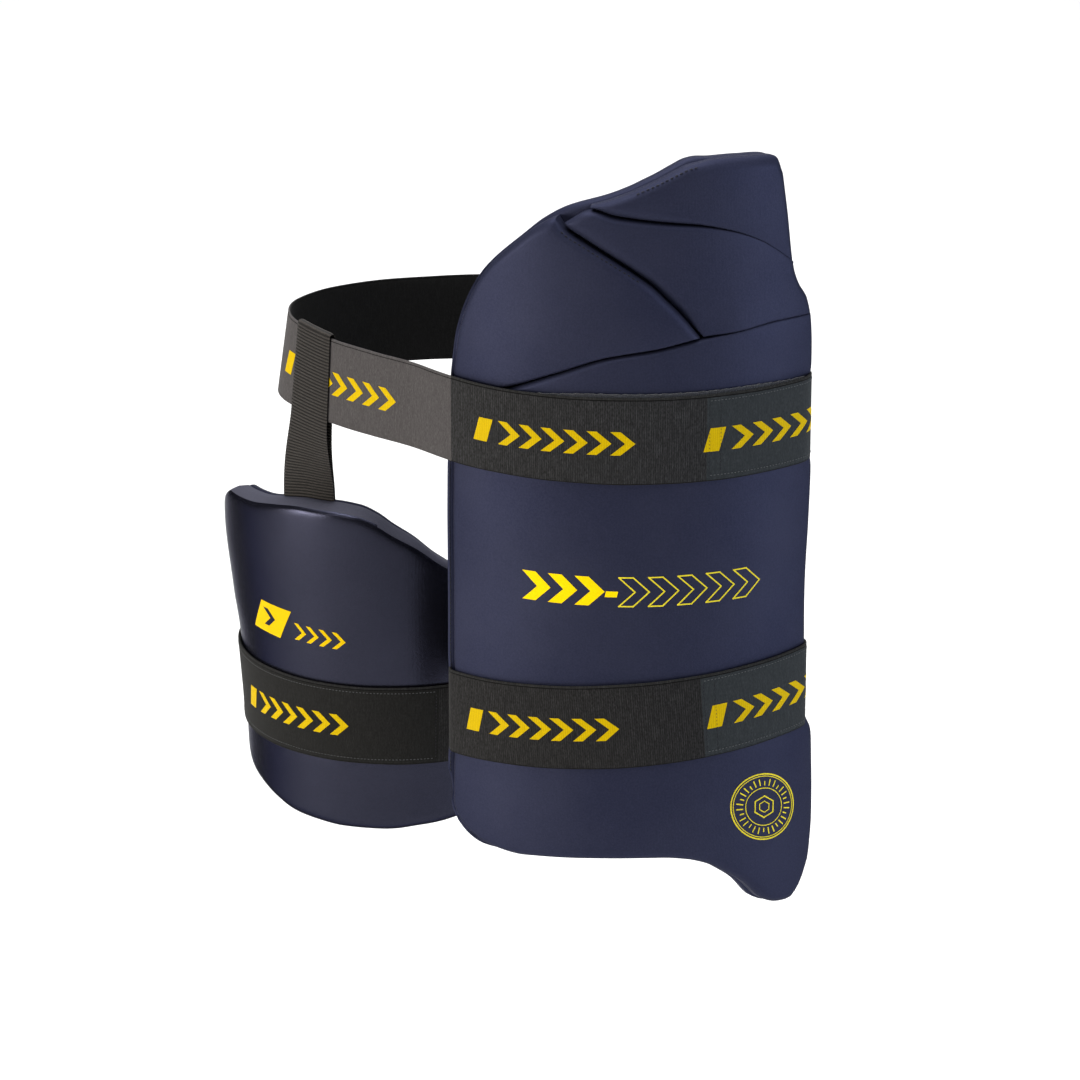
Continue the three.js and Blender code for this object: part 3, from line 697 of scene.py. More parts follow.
def edge_drop(flat, profiles):
    """How far the face drops towards its edges. Each profile gives the drop for a distance."""
    edges = outline(flat)
    drops = [profile(line_distance(flat, edges[key]), flat) for key, profile in profiles.items()]
    return sum(np.clip(drop, 0, None) ** 3 for drop in drops) ** (1 / 3)


swell_height = 0.1


def swells(arc, z):
    """Slight unevenness of foam under cloth."""
    across, slanted = np.sin(arc / 11.3 + z / 17.1), np.sin(arc / 19.7 - z / 13.4 + 1.3)
    return swell_height * (across + slanted + np.sin(z / 8.9 + 2.1))


# Outer pad
strap_press = 0.55
crown_depth, crown_reach = 0.7, 7
least_cover = 0.4
rim_height = 9.5
rim_inset = 3.4
rim_lip = 3.6
rim_reach = 5.0
rim_end = (-100, -55)
rim_roll = (3.4, 3.4)
outer_roll = (5.0, 5.2)
half_seam = panel_seam / 2
seam_closing = 0.85
body_closing = (wing_point, 0.6)
top_closing = (0.25, 0.75)
body_end_roll = (1.2, 0.6)
top_end_roll = (0.8, 0.15)
top_change = (-20, 85)
cover_start, cover_end = 0.4, 0.55
cover_lip = 1.3


def outer_flat(across, z):
    return np.stack([outer_arc(across, z), z], axis=-1)


def outer_relief(arc, z):
    """How far the outer pad's face lies above its plain form."""
    return swells(arc, z) - strap_press * under_straps(arc, z, press_softness)


def panel_grid(start, end, low, high, step, corners=()):
    """Places across a panel and the heights of its rows in each column."""
    to_mm = outer_half_width
    across = edged_steps(start * to_mm, end * to_mm, step, [c * to_mm for c in corners]) / to_mm
    across = np.clip(across, start, end)
    lows = low(across)
    highs = np.maximum(high(across), lows + clearance)
    rows = max(int((np.max(highs - lows) - 2 * EDGE_STEPS[-1]) / step), 4)
    z = column_rows(lows, highs, rows)
    return np.broadcast_to(across[:, None], z.shape), z


fine = np.linspace(-1, 1, 241)
left_border = outer_flat(-1.0, np.linspace(outer_bottom(-1.0), outer_top(-1.0), 60))
top_border = outer_flat(fine, outer_top(fine))
bottom_border = outer_flat(fine, outer_bottom(fine))


def rim_rise(flat):
    """How far the seam between front and back rises towards the outer pad's left border."""
    distance = nearest(flat, (left_border, top_border, bottom_border))
    return rim_height * np.exp(-(distance / rim_reach) ** 2) * (1 - ramp_up(flat[..., 0], *rim_end))


def outer_panel(name, node, start, end, low, high, profiles, face, step=2.5):
    """A front panel of the outer pad: soft rolled edges, a slight crown and swells."""
    across, z = panel_grid(start, end, low, high, step, PANEL_CORNERS)
    flat = outer_flat(across, z)
    arc = flat[..., 0]
    crown = crown_depth * np.exp(-nearest(flat, outline(flat).values()) / crown_reach)
    height = face(arc, z) - edge_drop(flat, profiles) - crown + outer_relief(arc, z)
    floor = back_face + clearance + rim_rise(flat)
    front = on_outer(arc, z, np.maximum(height, floor + least_cover))
    shape, _ = slab(front, on_outer(arc, z, floor), flat)
    add_piece(name, shape, [COVER], "pad_cover", [node])


OUTER_ROUND = plain_edge(*outer_roll)
PANEL_CORNERS = [wing_corner, middle_tip, top_tip, wing_point]
panel_start = -1 + rim_inset / outer_half_width
wing_point_arc = outer_arc(wing_point, body_seam(wing_point))
wing_corner_arc = outer_arc(wing_corner, outer_top(wing_corner))


def moved(line, gap, closed=None):
    """A line moved up by a gap, which closes from one place across to another where they are given."""
    def at(across):
        return line(across) + gap * (1 if closed is None else 1 - seam_closing * ramp_up(across, *closed))
    return at


def wing_top_edge(distance, flat):
    """The front wing's edge: round at the top border, then a flat lip with a round outer edge."""
    corner_blend, lip_step, lip_round = 4, 2.2, 4.2
    t = ramp_up(flat[..., 0], wing_corner_arc - corner_blend, wing_corner_arc + corner_blend)
    lip = lip_step * bevelled(distance, width=3.6, softness=0.7) + lip_round * rounded(distance, width=1.6)
    return (1 - t) * OUTER_ROUND(distance, flat) + t * lip


def front_wing_top(across):
    border_gap, edge_gap, left_gap = 1.2, 0.8, 1.0
    edge = np.where(across < wing_corner, outer_top(across) - border_gap, wing_edge(across) - edge_gap)
    return edge - left_gap * (1 - ramp_up(across, -0.9, -0.7))


def middle_wing_low(across):
    edge_gap = 0.9
    beside = np.maximum(wing_edge(across) + edge_gap, body_seam(across))
    return np.where(across > wing_point, moved(body_seam, half_seam, body_closing)(across), beside)


def middle_wing_face(arc, z):
    """The middle wing's face comes up to the body panel's along their seam at the right."""
    flush_height, flush_reach, flush_share = 16, 25, 0.9
    near_seam = np.exp(-np.clip(z - body_seam(arc / outer_half_width), 0, None) / flush_height)
    flush = flush_share * near_seam * ramp_up(arc, wing_point_arc, wing_point_arc + flush_reach)
    return -wing_step * (1 - flush)


def top_cover(across):
    """From 0 to 1 where the top wing's cover goes over the back layer's top edge."""
    return ramp_up(across, cover_start, cover_end)


def top_wing_top(across):
    return outer_top(across) - half_seam + cover_lip * top_cover(across)


outer_panel(
    "body_panel", "outer_body_panel", panel_start, 1,
    moved(outer_bottom, half_seam), moved(body_seam, -half_seam, body_closing),
    {"low": OUTER_ROUND,
     "high": changing_edge((2.6, 3.0), body_end_roll, wing_point_arc - 6, wing_point_arc + 30),
     "start": OUTER_ROUND, "end": OUTER_ROUND},
    lambda arc, z: 0, 3.0)
outer_panel(
    "front_wing", "outer_front_wing", panel_start, wing_point, moved(body_seam, 0.5), front_wing_top,
    {"low": plain_edge(1.6, 1.8), "high": wing_top_edge, "start": OUTER_ROUND},
    lambda arc, z: 0)
outer_panel(
    "middle_wing", "outer_middle_wing", middle_tip, 1,
    middle_wing_low, moved(top_groove, -half_seam, top_closing),
    {"low": changing_edge((7.0, 5.0), body_end_roll, wing_point_arc - 14, wing_point_arc + 2),
     "high": changing_edge((3.6, 3.6), top_end_roll, *top_change),
     "end": OUTER_ROUND},
    middle_wing_face)
outer_panel(
    "top_wing", "outer_top_wing", top_tip, 1, moved(top_groove, half_seam, top_closing), top_wing_top,
    {"low": changing_edge((6.5, 4.6), top_end_roll, *top_change),
     "high": changing_edge((4.5, 5.0), (6.5, 6.0), 30, 50),
     "end": OUTER_ROUND},
    lambda arc, z: -wing_step)


def back_layer():
    """The outer pad's back layer, with a soft round rim that shows round the front panels."""
    left, right = -1 - rim_lip / outer_half_width, 1 + back_lip / 2 / outer_half_width

    def top(across):
        return outer_top(across) + back_lip * (1 - 0.7 * top_cover(across))

    across, z = panel_grid(left, right, moved(outer_bottom, -back_lip), top, 3.0)
    flat = outer_flat(across, z)
    arc = flat[..., 0]
    rim = dict.fromkeys(outline(flat), plain_edge(*rim_roll))
    front_rim = {**rim, "high": changing_edge(rim_roll, (0.6, 0.5), 36, 50)}
    front = on_outer(arc, z, back_face + rim_rise(flat) - edge_drop(flat, front_rim))
    rear = on_outer(arc, z, edge_drop(flat, rim) - outer_thickness)
    shape, kinds = slab(front, rear, flat)
    add_piece("back_layer", shape, [COVER, LINER], "pad_liner", ["outer_back_layer"], kinds == 1)


back_layer()


# Inner pad
inner_press = 0.5
swell_shift = 40
bevel_width, bevel_softness, bevel_depth = 2.6, 1.6, 8.5
bevel_end = (5, 45)


def inner_grid(step):
    half = inner_radius * math.radians(inner_half_angle)
    across = edged_steps(-half, half, step) / half
    tops = inner_top - inner_height * inner_top_share(across)
    lows = inner_top - inner_height * inner_bottom_share(across)
    z = column_rows(lows, tops, int((inner_height - 2 * EDGE_STEPS[-1]) / step))
    return inner_middle + np.broadcast_to(across[:, None], z.shape) * inner_half_angle, z


def inner_relief(degrees, z):
    under = band_press(z, -inner_thigh_drop, press_softness)
    return swells(np.radians(degrees) * inner_radius + swell_shift, z) - inner_press * under


def inner_top_edge(distance, flat):
    """A steep bevel with a soft crease, which runs out to a small round edge on the right slope."""
    t = ramp_up(flat[..., 0], *bevel_end)
    bevel = bevel_depth * bevelled(distance, bevel_width, bevel_softness)
    return (1 - t) * bevel + t * plain_edge(4.0, 4.5)(distance, flat)


def inner_pieces():
    """The inner pad's front and its liner. The top bevel takes a lighter copy of the cover: painted light on
    the top face.
    """
    degrees, z = inner_grid(3.0)
    flat = np.stack([np.radians(degrees) * inner_radius, z], axis=-1)
    profiles = {
        "high": inner_top_edge,
        "low": plain_edge(8.0, 9.0),
        "start": plain_edge(9.0, 10.0),
        "end": plain_edge(7.0, 9.0),
    }
    floor = liner_face + clearance
    height = np.maximum(inner_relief(degrees, z) - edge_drop(flat, profiles), floor + 2 * least_cover)
    shape, kinds = slab(on_inner(degrees, z, height), on_inner(degrees, z, floor), flat)
    _, faces, uv = shape
    middle = uv[faces].mean(axis=1)
    # Faces of the top bevel take the lighter cover, as painted light
    near_top = line_distance(middle, outline(flat)["high"]) < bevel_width
    painted_light_top = near_top & (middle[:, 0] < bevel_end[1]) & (kinds != 1)
    add_piece("inner_front", shape, [INNER_COVER, INNER_TOP_PAINTED_LIGHT], "pad_cover", ["inner_pad"], painted_light_top)

    drop = edge_drop(flat, dict.fromkeys(outline(flat), plain_edge(1.8, 1.8)))
    front = on_inner(degrees, z, liner_face - drop)
    shape, _ = slab(front, on_inner(degrees, z, drop - inner_thickness), flat)
    add_piece("inner_liner", shape, [LINER], "pad_liner", ["inner_back_layer"])


inner_pieces()


# Straps
BAND_EDGE = np.array([0, 0.12, 0.4, 0.75, 1.05, 1.35, 1.7, 3.0])
edge_round = 0.7
groove_inset, groove_width, groove_depth = 1.35, 0.3, 0.22
groove_start, groove_end = 1.05, 1.7
plain_groove, plain_groove_half = 1.5, 0.2
# Width of the painted contact shadow along a strap's lower edge
contact_shadow_line = 0.6
ribbed_past_pad = 11
band_step = 1.6
fray = 0.25


def band_profile():
    """Places across a band and its half thickness there, with a groove inside each selvedge."""
    half = strap_width / 2
    inside = np.linspace(-half + BAND_EDGE[-1], half - BAND_EDGE[-1], 13)
    across = np.concatenate([-half + BAND_EDGE[:-1], inside, half - BAND_EDGE[:-1][::-1]])
    edge = half - abs(across)
    share = np.clip(1 - (1 - np.clip(edge / edge_round, 0, 1)) ** 2, 0.03, 1)
    groove = groove_depth * np.exp(-((edge - groove_inset) / groove_width) ** 2)
    return across, strap_thickness / 2 * np.sqrt(share) - groove


def band(place, start, end):
    """A flat band from start to end of its route, with slightly wavy edges."""
    across, thick = band_profile()
    route = np.linspace(start, end, max(int((end - start) / band_step), 8) + 1)
    waver = fray * (np.sin(route / 23) + 0.5 * np.sin(route / 7.3 + 1))
    d, w = np.meshgrid(route, across, indexing="ij")
    spread = w + waver[:, None] * (w / strap_width * 2) ** 3 * 0.5
    return slab(place(d, spread, thick), place(d, spread, -thick), np.stack([d, w], axis=-1))


def by_side(kinds, middle):
    """The material's number: 0 on the face, 1 inside, 2 on the upper selvedge, 3 in its groove and along the
    lower edge, where near-black cloth is painted shade in the groove and a painted contact shadow below.
    """
    edge = strap_width / 2 - middle[:, 1]
    in_painted_shade = (edge < groove_end) | (edge > strap_width - contact_shadow_line)
    face = np.where(edge < groove_start, 2, np.where(in_painted_shade, 3, 0))
    return np.where(kinds == 1, 1, face)


def waist_choice(kinds, middle):
    """Plain elastic on the free run of the waist strap, ribbed elastic over the pad. The plain elastic has a
    finer weave, and its lighter colour is painted light on the free run.
    """
    pad_end = waist.at_arc(-outer_half_width) - ribbed_past_pad
    # The groove on the free run keeps its painted shade
    groove = abs(strap_width / 2 - middle[:, 1] - plain_groove) < plain_groove_half
    # Free-run faces take the lighter plain elastic: painted light
    plain = (kinds != 1) & (middle[:, 0] > pad_end) & ~groove
    return np.where(plain, 4, by_side(kinds, middle))


def strap_pieces():
    """Each loop and its fastened end, which meet at a hair's gap."""
    waist_end = waist.length - waist.tab_length
    thigh_end = thigh.length - thigh.tab_length
    inner_start, inner_end = inner_tab_start * inner_degree, inner_tab_end * inner_degree
    round_inner = inner_start + 360 * inner_degree
    for name, node, place, start, end, slot, face in (
            ("waist_band", "waist_strap", waist.point, joint, waist_end, "elastic", ELASTIC),
            ("waist_tab", "waist_strap_tab", waist.point, waist_end + joint, waist.length, "tab", TAB),
            ("thigh_band", "outer_thigh_strap", thigh.point, joint, thigh_end, "elastic", THIGH_ELASTIC_SHADED),
            ("thigh_tab", "outer_thigh_strap_tab", thigh.point, thigh_end + joint, thigh.length, "tab", TAB),
            ("inner_band", "inner_thigh_strap", inner_strap, inner_end + joint, round_inner - joint,
             "elastic", THIGH_ELASTIC_SHADED),
            ("inner_tab", "inner_thigh_strap_tab", inner_strap, inner_start, inner_end, "tab", INNER_TAB_SHADED)):
        shape, kinds = band(place, start, end)
        _, faces, uv = shape
        choose, more = (waist_choice, [PLAIN_PAINTED_LIGHT]) if name == "waist_band" else (by_side, [])
        chosen = choose(kinds, uv[faces].mean(axis=1))
        add_piece(name, shape, [face, SHADE, SELVEDGE, GROOVE_SHADE] + more, slot, [node], chosen)


strap_pieces()


def loop_patch():
    """Fastening patch between the waist strap and the pad, with tapered ends and a ragged upper edge."""
    left_taper, right_taper, lower_inset, rag = 45, 40, 0.8, 0.3
    a, up = np.meshgrid(np.linspace(patch_left, patch_right, 90), np.linspace(0, 1, 24), indexing="ij")
    shown = ramp_up(a, patch_left, patch_left + left_taper)
    shown = shown * (1 - 0.7 * ramp_up(a, patch_right - right_taper, patch_right))
    z = -strap_width / 2 + (strap_width + patch_show * shown - lower_inset) * up
    ragged = z + rag * np.sin(a * 2.1) * np.sin(a / 3.7) * (up > 0.99)
    front = on_outer(a, ragged, clearance + patch_thickness)
    shape, _ = slab(front, on_outer(a, ragged, clearance), np.stack([a, z], axis=-1))
    add_piece("loop_patch", shape, [PILE], "tab", ["waist_loop_patch"])


loop_patch()


# Webbing hanger
webbing_step = 0.27
webbing_edge = 2.2
rib_sink, rib_height = 0.3, 0.35


def webbing_piece():
    """The folded webbing: a ply up in front of the waist strap or behind it, a fold over it, a ply down."""
    foot_z = inner_top + clearance
    edge_z = strap_width / 2 + clearance
    ply_gap = (clearance + webbing_thickness) / 2
    strap_gap = strap_thickness / 2 + clearance + webbing_thickness / 2
    seam_height = liner_face + clearance / 2
    offsets = np.linspace(-webbing_width / 2, webbing_width / 2, 15)
    foot_offsets = offsets * webbing_foot_width / webbing_width
    angle = np.radians(webbing_angle) - foot_offsets / (inner_radius + seam_height)
    foot = on_inner(np.degrees(angle), inner_top, seam_height)
    foot_shift = -inner_height * inner_top_share((np.degrees(angle) - inner_middle) / inner_half_angle)
    foot_out = np.stack([np.sin(angle), -np.cos(angle), 0 * angle], axis=1)
    tries = np.linspace(0, waist.length, 4001)
    line = waist.along(tries)
    in_front = line[:, 1] < waist_back / 4
    middle = tries[np.argmin(np.where(in_front, abs(line[:, 0] - webbing_reach), np.inf))]
    centre = waist.point(middle + offsets, 0, 0)
    wide = waist.point(middle + offsets, 1, 0) - centre
    thick = waist.point(middle + offsets, 0, 1) - centre
    strap_out = unit(thick * (1, 1, 0))

    def section(z, degrees):
        """A ply's line at a height, pushed out of the strap by the fold's angle, and the way it faces."""
        t = ramp_up(z, foot_z, -edge_z)
        on_strap = centre + wide * (z / wide[:, 2:])
        low = np.column_stack([foot[:, :2], z + foot_shift])
        out = unit(foot_out + (strap_out - foot_out) * t)
        turn = math.radians(degrees)
        turned = out * math.cos(turn) + np.array((0, 0, 1)) * math.sin(turn)
        return low + (on_strap - low) * t + turned * (ply_gap + (strap_gap - ply_gap) * t), turned

    rise = np.arange(foot_z, edge_z, webbing_step)
    fold = [(edge_z, degrees) for degrees in np.linspace(0, 180, 13)]
    path = [(z, 0) for z in rise] + fold + [(z, 180) for z in rise[::-1]]
    middles, outs = (np.array(rows) for rows in zip(*(section(z, degrees) for z, degrees in path)))
    along = lengths_along(middles[:, 7])[:, None]
    rib = 0.5 - 0.5 * np.cos(2 * math.pi * along / WEBBING_RIB)
    edge = np.clip((webbing_width / 2 - abs(offsets)) / webbing_edge, 0, 1)
    round_edge = np.sqrt(np.clip(1 - (1 - edge) ** 2, 0.12, 1))
    half = ((webbing_thickness / 2 - rib_sink + rib_height * rib) * round_edge)[..., None]
    flat = np.stack(np.broadcast_arrays(along, offsets), axis=-1)
    shape, _ = slab(middles + outs * half, middles - outs * half, flat)
    add_piece("webbing", shape, [SHADED_WEBBING], "webbing", ["hanger_webbing"])


webbing_piece()


# Prints
print_lift, print_thickness, print_cell = 0.16, 0.14, 2.0
mark_height, mark_bar, mark_slant, mark_drop = 13.5, 9.0, 4.0, 1.0
mark_chevron, mark_thick, mark_pitch, mark_space = 13.5, 5.5, 12.9, 7.5


class Parts:
    """Small closed shapes gathered into one piece."""

    def __init__(self):
        self.shapes = []
        self.count = 0

    def add(self, points, faces, uv):
        self.shapes.append((points, outward(points, faces) + self.count, uv))
        self.count += len(points)

    def piece(self, name, material, slot):
        add_piece(name, [np.concatenate(rows) for rows in zip(*self.shapes)], [material], slot)


def print_area(parts, place, corners, lift=print_lift):
    """A printed shape with four corners: low left, low right, high right and high left."""
    a, b, c, d = (np.array(p, float) for p in corners)
    sides = ((b - a, c - d), (d - a, c - b))
    counts = (max(int(max(map(np.linalg.norm, pair)) / print_cell), 1) + 1 for pair in sides)
    u, v = np.meshgrid(*(np.linspace(0, 1, count) for count in counts), indexing="ij")
    u, v = u[..., None], v[..., None]
    flat = (a * (1 - u) + b * u) * (1 - v) + (d * (1 - u) + c * u) * v
    along, across = flat[..., 0], flat[..., 1]
    shape, _ = slab(place(along, across, lift), place(along, across, lift - print_thickness), flat)
    parts.add(*shape)


def stroke(parts, place, points, width, closed=False):
    """A printed line through points."""
    points = np.array(points + points[:1] if closed else points, float)
    for a, b in zip(points[:-1], points[1:]):
        along = unit(b - a) * width / 2
        beside = np.array([-along[1], along[0]])
        a, b = a - along, b + along
        print_area(parts, place, [a - beside, b - beside, b + beside, a + beside])


def bar(left, low, width, height, slant):
    """Corners of a slanted bar."""
    right, high = left + width, low + height
    return [(left, low), (right, low), (right + slant, high), (left + slant, high)]


def chevron_outline(left, low, width, height, thick):
    """Corners of a chevron, with its tip's two corners third and last."""
    middle, high, tip = low + height / 2, low + height, left + width
    return [
        (left, low), (left + thick, low), (tip, middle), (left + thick, high), (left, high),
        (tip - thick, middle)]


def chevrons(parts, place, lefts, low, width, height, thick, lift=print_lift):
    """A row of chevrons, each of two slanted arms."""
    for left in lefts:
        a, b, outer_tip, c, d, inner_tip = chevron_outline(left, low, width, height, thick)
        print_area(parts, place, [a, b, outer_tip, inner_tip], lift)
        print_area(parts, place, [inner_tip, outer_tip, c, d], lift)


def on_face(route, distance_at):
    """Places on a strap's outer face, with a rule that turns a length into a distance along its route."""
    return lambda length, across, lift: route(distance_at(length), across, strap_thickness / 2 + lift)


free_end = waist.at_arc(-outer_half_width) + 110
on_waist = on_face(waist.point, waist.at_arc)
on_free_run = on_face(waist.point, lambda length: free_end - length)
on_thigh = on_face(thigh.point, thigh.at_arc)
on_inner_strap = on_face(inner_strap, lambda length: length)


def strap_prints():
    """Marks of a slanted bar and a row of chevrons on each strap."""
    parts = Parts()
    low = -mark_height / 2 - mark_drop
    for place, left, count in (
            (on_waist, -92, 6), (on_waist, 40, 6), (on_thigh, -100, 6), (on_thigh, 44, 6),
            (on_free_run, -34, 7), (on_inner_strap, -124, 6)):
        print_area(parts, place, bar(left, low, mark_bar, mark_height, mark_slant))
        lefts = left + mark_bar + mark_space + mark_pitch * np.arange(count)
        chevrons(parts, place, lefts, low, mark_chevron, mark_height, mark_thick)
    parts.piece("strap_prints", STRAP_INK, "print")


def on_outer_cover(arc, z, lift):
    return on_outer(arc, z, outer_relief(arc, z) + lift)


def on_inner_cover(arc, z, lift):
    degrees = np.degrees(arc / inner_radius)
    return on_inner(degrees, z, inner_relief(degrees, z) + lift)


def outer_prints():
    """Solid chevrons and a dash, then chevrons in outline."""
    low, width, height, thick = -97.3, 17.0, 17.0, 8.0
    solid, thin = Parts(), Parts()
    chevrons(solid, on_outer_cover, -62 + 15.5 * np.arange(3), low, width, height, thick)
    print_area(solid, on_outer_cover, bar(left=-14.0, low=low + 5.4, width=6.8, height=3.4, slant=0.8))
    for left in -6.0 + 16.6 * np.arange(5):
        stroke(thin, on_outer_cover, chevron_outline(left, low, width, height, thick), 0.75, True)
    solid.piece("outer_print", INK, "print")
    thin.piece("outer_print_outline", THIN_INK, "print")


def inner_prints():
    """A leaning square with a dark chevron in it, then narrow chevrons."""
    parts, dark = Parts(), Parts()
    centre_arc, centre_z, turn = -86, -158, math.radians(-3)

    def turned(x, y, lift):
        arc = centre_arc + x * math.cos(turn) - y * math.sin(turn)
        return on_inner_cover(arc, centre_z + x * math.sin(turn) + y * math.cos(turn), lift)

    print_area(parts, turned, bar(left=-20, low=-10.5, width=27, height=20, slant=11))
    chevrons(dark, turned, [-7.5], low=-5.5, width=11, height=11, thick=4.5, lift=2 * print_lift)
    chevrons(parts, turned, 20 + 9.2 * np.arange(4), low=-7.5, width=9.2, height=10.5, thick=3.2)
    parts.piece("inner_print", INNER_INK, "print")
    dark.piece("inner_print_mark", NAVY_INK, "print")


def round_print():
    """Rings with a row of short ticks between them, round a hexagon."""
    parts = Parts()
    centre_arc, centre_z = 83.5, -228.0
    wide, tall, shear = 1.07, 0.95, 0.2
    ticks, tick_start, tick_end, third_tick_end, tick_width = 30, 14.2, 17.8, 16.2, 0.7

    def at(radius, share):
        turn = 2 * math.pi * share
        beside = wide * radius * math.sin(turn)
        return (centre_arc + beside, centre_z + tall * radius * math.cos(turn) - shear * beside)

    rings = ((21.3, 0.8, 60), (19.9, 0.45, 60), (12.2, 0.45, 40), (7.0, 0.7, 6), (3.6, 0.5, 6))
    for radius, width, sides in rings:
        stroke(parts, on_outer_cover, [at(radius, k / sides) for k in range(sides)], width, True)
    for k in range(ticks):
        end = tick_end if k % 3 else third_tick_end
        stroke(parts, on_outer_cover, [at(tick_start, k / ticks), at(end, k / ticks)], tick_width)
    parts.piece("round_print", THIN_INK, "print")


strap_prints()
outer_prints()
inner_prints()
round_print()


# Stitches
STITCH_END = np.array([[0, 1, 2, 3], [0, 3, 4, 5]])
thread_flatness = 0.8


def stitch_row(parts, path, normals, length, pitch, radius, sink=0.6):
    """Thread stitches along a path of points, each arched over the cloth."""
    places = lengths_along(path)
    ring = np.linspace(0, 2 * math.pi, 7)[:-1]
    shares = np.linspace(-0.5, 0.5, 6)
    n, m = len(shares), len(ring)
    index = np.arange(n * m).reshape(n, m)
    beside = np.roll(index, -1, 1)
    sides = np.stack([index[:-1], beside[:-1], beside[1:], index[1:]], axis=-1).reshape(-1, 4)
    faces = np.concatenate([sides, index[0, STITCH_END][:, ::-1], index[-1, STITCH_END]])
    bulge = np.sqrt(np.clip(1 - (2 * shares) ** 2, 0.02, 1)) ** 0.6
    sunk = 2 * sink * radius * (2 * shares[:, None]) ** 4
    cosines, sines = np.cos(ring)[:, None], thread_flatness * np.sin(ring)[:, None]
    for k in range(int(places[-1] / pitch)):
        at = (k + 0.5) * pitch + shares * length
        up = unit(between(at, places, normals))
        line = between(at, places, path) - up * sunk
        across = unit(np.cross(unit(np.gradient(line, axis=0)), up))
        circle = across[:, None] * cosines + up[:, None] * sines
        tube = line[:, None] + (radius * bulge)[:, None, None] * circle
        uv = np.stack([np.repeat(at, m), np.tile(ring * radius, n)], axis=1)
        parts.add(tube.reshape(-1, 3), faces, uv)


def strap_stitches():
    """Grey rows along the edges of each fastened end, and dark rows across it where it is sewn on."""
    parts, dark = Parts(), Parts()
    inset = strap_width / 2 - 3.4
    end_inset, tail_rows, row_gap = 1.5, 20, 6.5
    upwards = np.linspace(-inset, inset, 40)

    def rows(place, start, end, count, seams, radius):
        along = np.linspace(start, end, count)
        lines = [(parts, along, -inset), (parts, along, inset)] + [(dark, seam, upwards) for seam in seams]
        for group, arc, across in lines:
            normals = unit(place(arc, across, 1) - place(arc, across, 0))
            stitch_row(group, place(arc, across, 0.1), normals, length=1.4, pitch=2.1, radius=radius)

    start = tab_start + end_inset
    for strap, place in ((waist, on_waist), (thigh, on_thigh)):
        end = strap.right_edge * outer_face_radius + tail_rows
        rows(place, start, end, 120, (start, start + row_gap), 0.22)
    start, end = inner_tab_start * inner_degree + 2, inner_tab_end * inner_degree - 2
    rows(on_inner_strap, start, end, 160, (end,), 0.2)
    parts.piece("strap_stitches", THREAD, "tab")
    dark.piece("strap_seam_stitches", DARK_THREAD, "tab")


def seam_stitches():
    """Dark thread along the upper edges of the top and front wings and the left border's seam."""
    parts = Parts()
    lean = (0, 0, 0.8)
    for edge, start, end, inset, height in (
            (outer_top, 0.02, 0.42, 1.8, -3.4), (wing_edge, wing_corner + 0.03, 0.05, 2.4, -1.7)):
        across = np.linspace(start, end, 120)
        z = edge(across) - inset
        arc = outer_arc(across, z)
        up = unit(on_outer(arc, z, height + 1) - on_outer(arc, z, height) + lean)
        stitch_row(parts, on_outer(arc, z, height + swells(arc, z)), up, length=1.9, pitch=2.9, radius=0.33)
    border = np.concatenate([left_border, top_border[1:40]])
    along = unit(np.gradient(border, axis=0))
    line = border + np.stack([along[:, 1], -along[:, 0]], axis=1) * 1.2
    height = back_face + rim_rise(line)
    path, above = (on_outer(line[:, 0], line[:, 1], height + lift) for lift in (0, 1))
    stitch_row(parts, path, unit(above - path), length=2.3, pitch=2.5, radius=0.3, sink=0.3)
    parts.piece("seam_stitches", DARK_THREAD, "pad_cover")


strap_stitches()
seam_stitches()


# Camera, lights and floor
camera_lens, sensor_width = 156, 36
camera_target = Vector((0, -0.140, -0.058))
camera_pitch = math.radians(19)
camera_distance = 2.6
world_strength = 0.08
floor_reach, floor_z = 20.0, -0.62
floor_colour = (0.95, 0.95, 0.95, 1)


def place_at(data, place, aim):
    """An object in the scene at a place, turned to look at another place."""
    thing = bpy.data.objects.new(data.name, data)
    thing.location = place
    thing.rotation_mode = "QUATERNION"
    thing.rotation_quaternion = (Vector(aim) - Vector(place)).to_track_quat("-Z", "Y")
    bpy.context.scene.collection.objects.link(thing)
    return thing


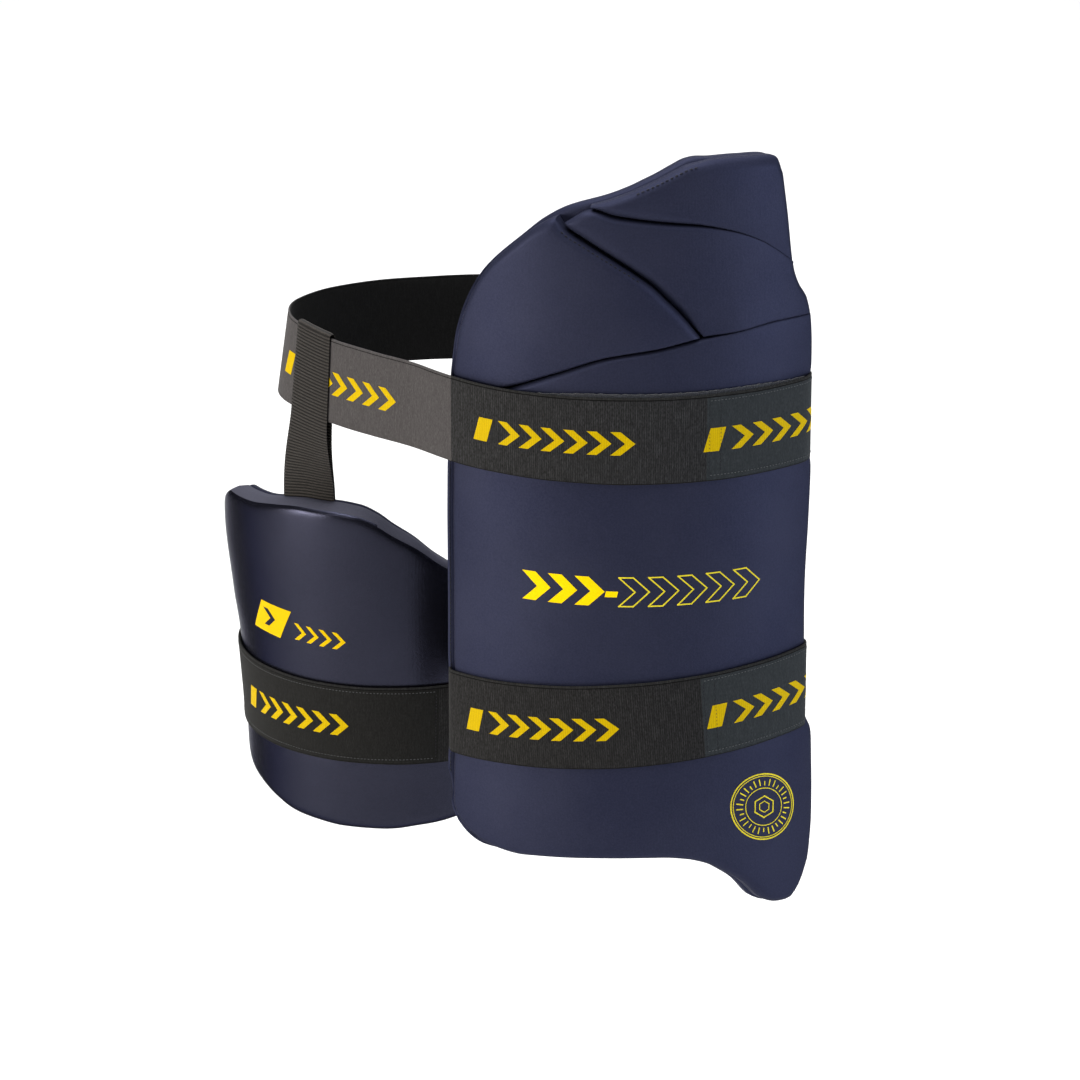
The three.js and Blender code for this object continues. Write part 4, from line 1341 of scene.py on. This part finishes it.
def stage():
    """The photo's camera, soft lights and a white floor."""
    camera = bpy.data.cameras.new("camera")
    camera.lens = camera_lens
    camera.sensor_width = sensor_width
    camera.clip_end = 100
    back = camera_distance * Vector((0, -math.cos(camera_pitch), math.sin(camera_pitch)))
    bpy.context.scene.camera = place_at(camera, camera_target + back, camera_target)

    for name, place, size, power, aim, tint in (
            ("key", (-2.05, -1.0, 0.0), (0.8, 0.8), 45, (-0.05, -0.1, 0.0), (1.0, 0.95, 0.86)),
            ("side", (1.95, -0.75, 0.0), (0.7, 0.75), 22, (0.05, -0.1, 0.0), (0.86, 0.91, 1.0)),
            ("front_right", (1.5, -1.0, 1.25), (0.5, 0.5), 8, (0.05, -0.1, 0.05), (0.92, 0.95, 1.0)),
            ("front_left", (-1.1, -1.4, 1.2), (0.5, 0.5), 5, (-0.1, -0.1, -0.1), (1.0, 0.97, 0.93)),
            ("overhead", (-0.45, -0.55, 1.85), (0.9, 0.7), 19, (-0.08, -0.05, -0.1), (1.0, 1.0, 1.0)),
            ("backdrop", (0, 2.3, 1.6), (2.0, 5.4), 118, (0, 2.3, 0), (1.0, 1.0, 1.0))):
        light = bpy.data.lights.new(name, "AREA")
        light.shape = "RECTANGLE"
        light.size, light.size_y = size
        light.energy = power
        light.color = tint
        place_at(light, place, aim)

    world = bpy.data.worlds.new("studio")
    world.use_nodes = True
    background = world.node_tree.nodes["Background"]
    background.inputs["Color"].default_value = (1, 1, 1, 1)
    background.inputs["Strength"].default_value = world_strength
    bpy.context.scene.world = world

    mesh = bpy.data.meshes.new("floor")
    corners = [(x * floor_reach, y * floor_reach, floor_z) for x, y in ((-1, -1), (1, -1), (1, 1), (-1, 1))]
    mesh.from_pydata(corners, [], [(0, 1, 2, 3)])
    floor = bpy.data.objects.new("floor", mesh)
    bpy.context.scene.collection.objects.link(floor)
    paint = Paint("floor", 0.9)
    paint.shader.inputs["Base Color"].default_value = floor_colour
    mesh.materials.append(paint.material)
    bpy.context.scene.view_settings.view_transform = "Standard"


stage()
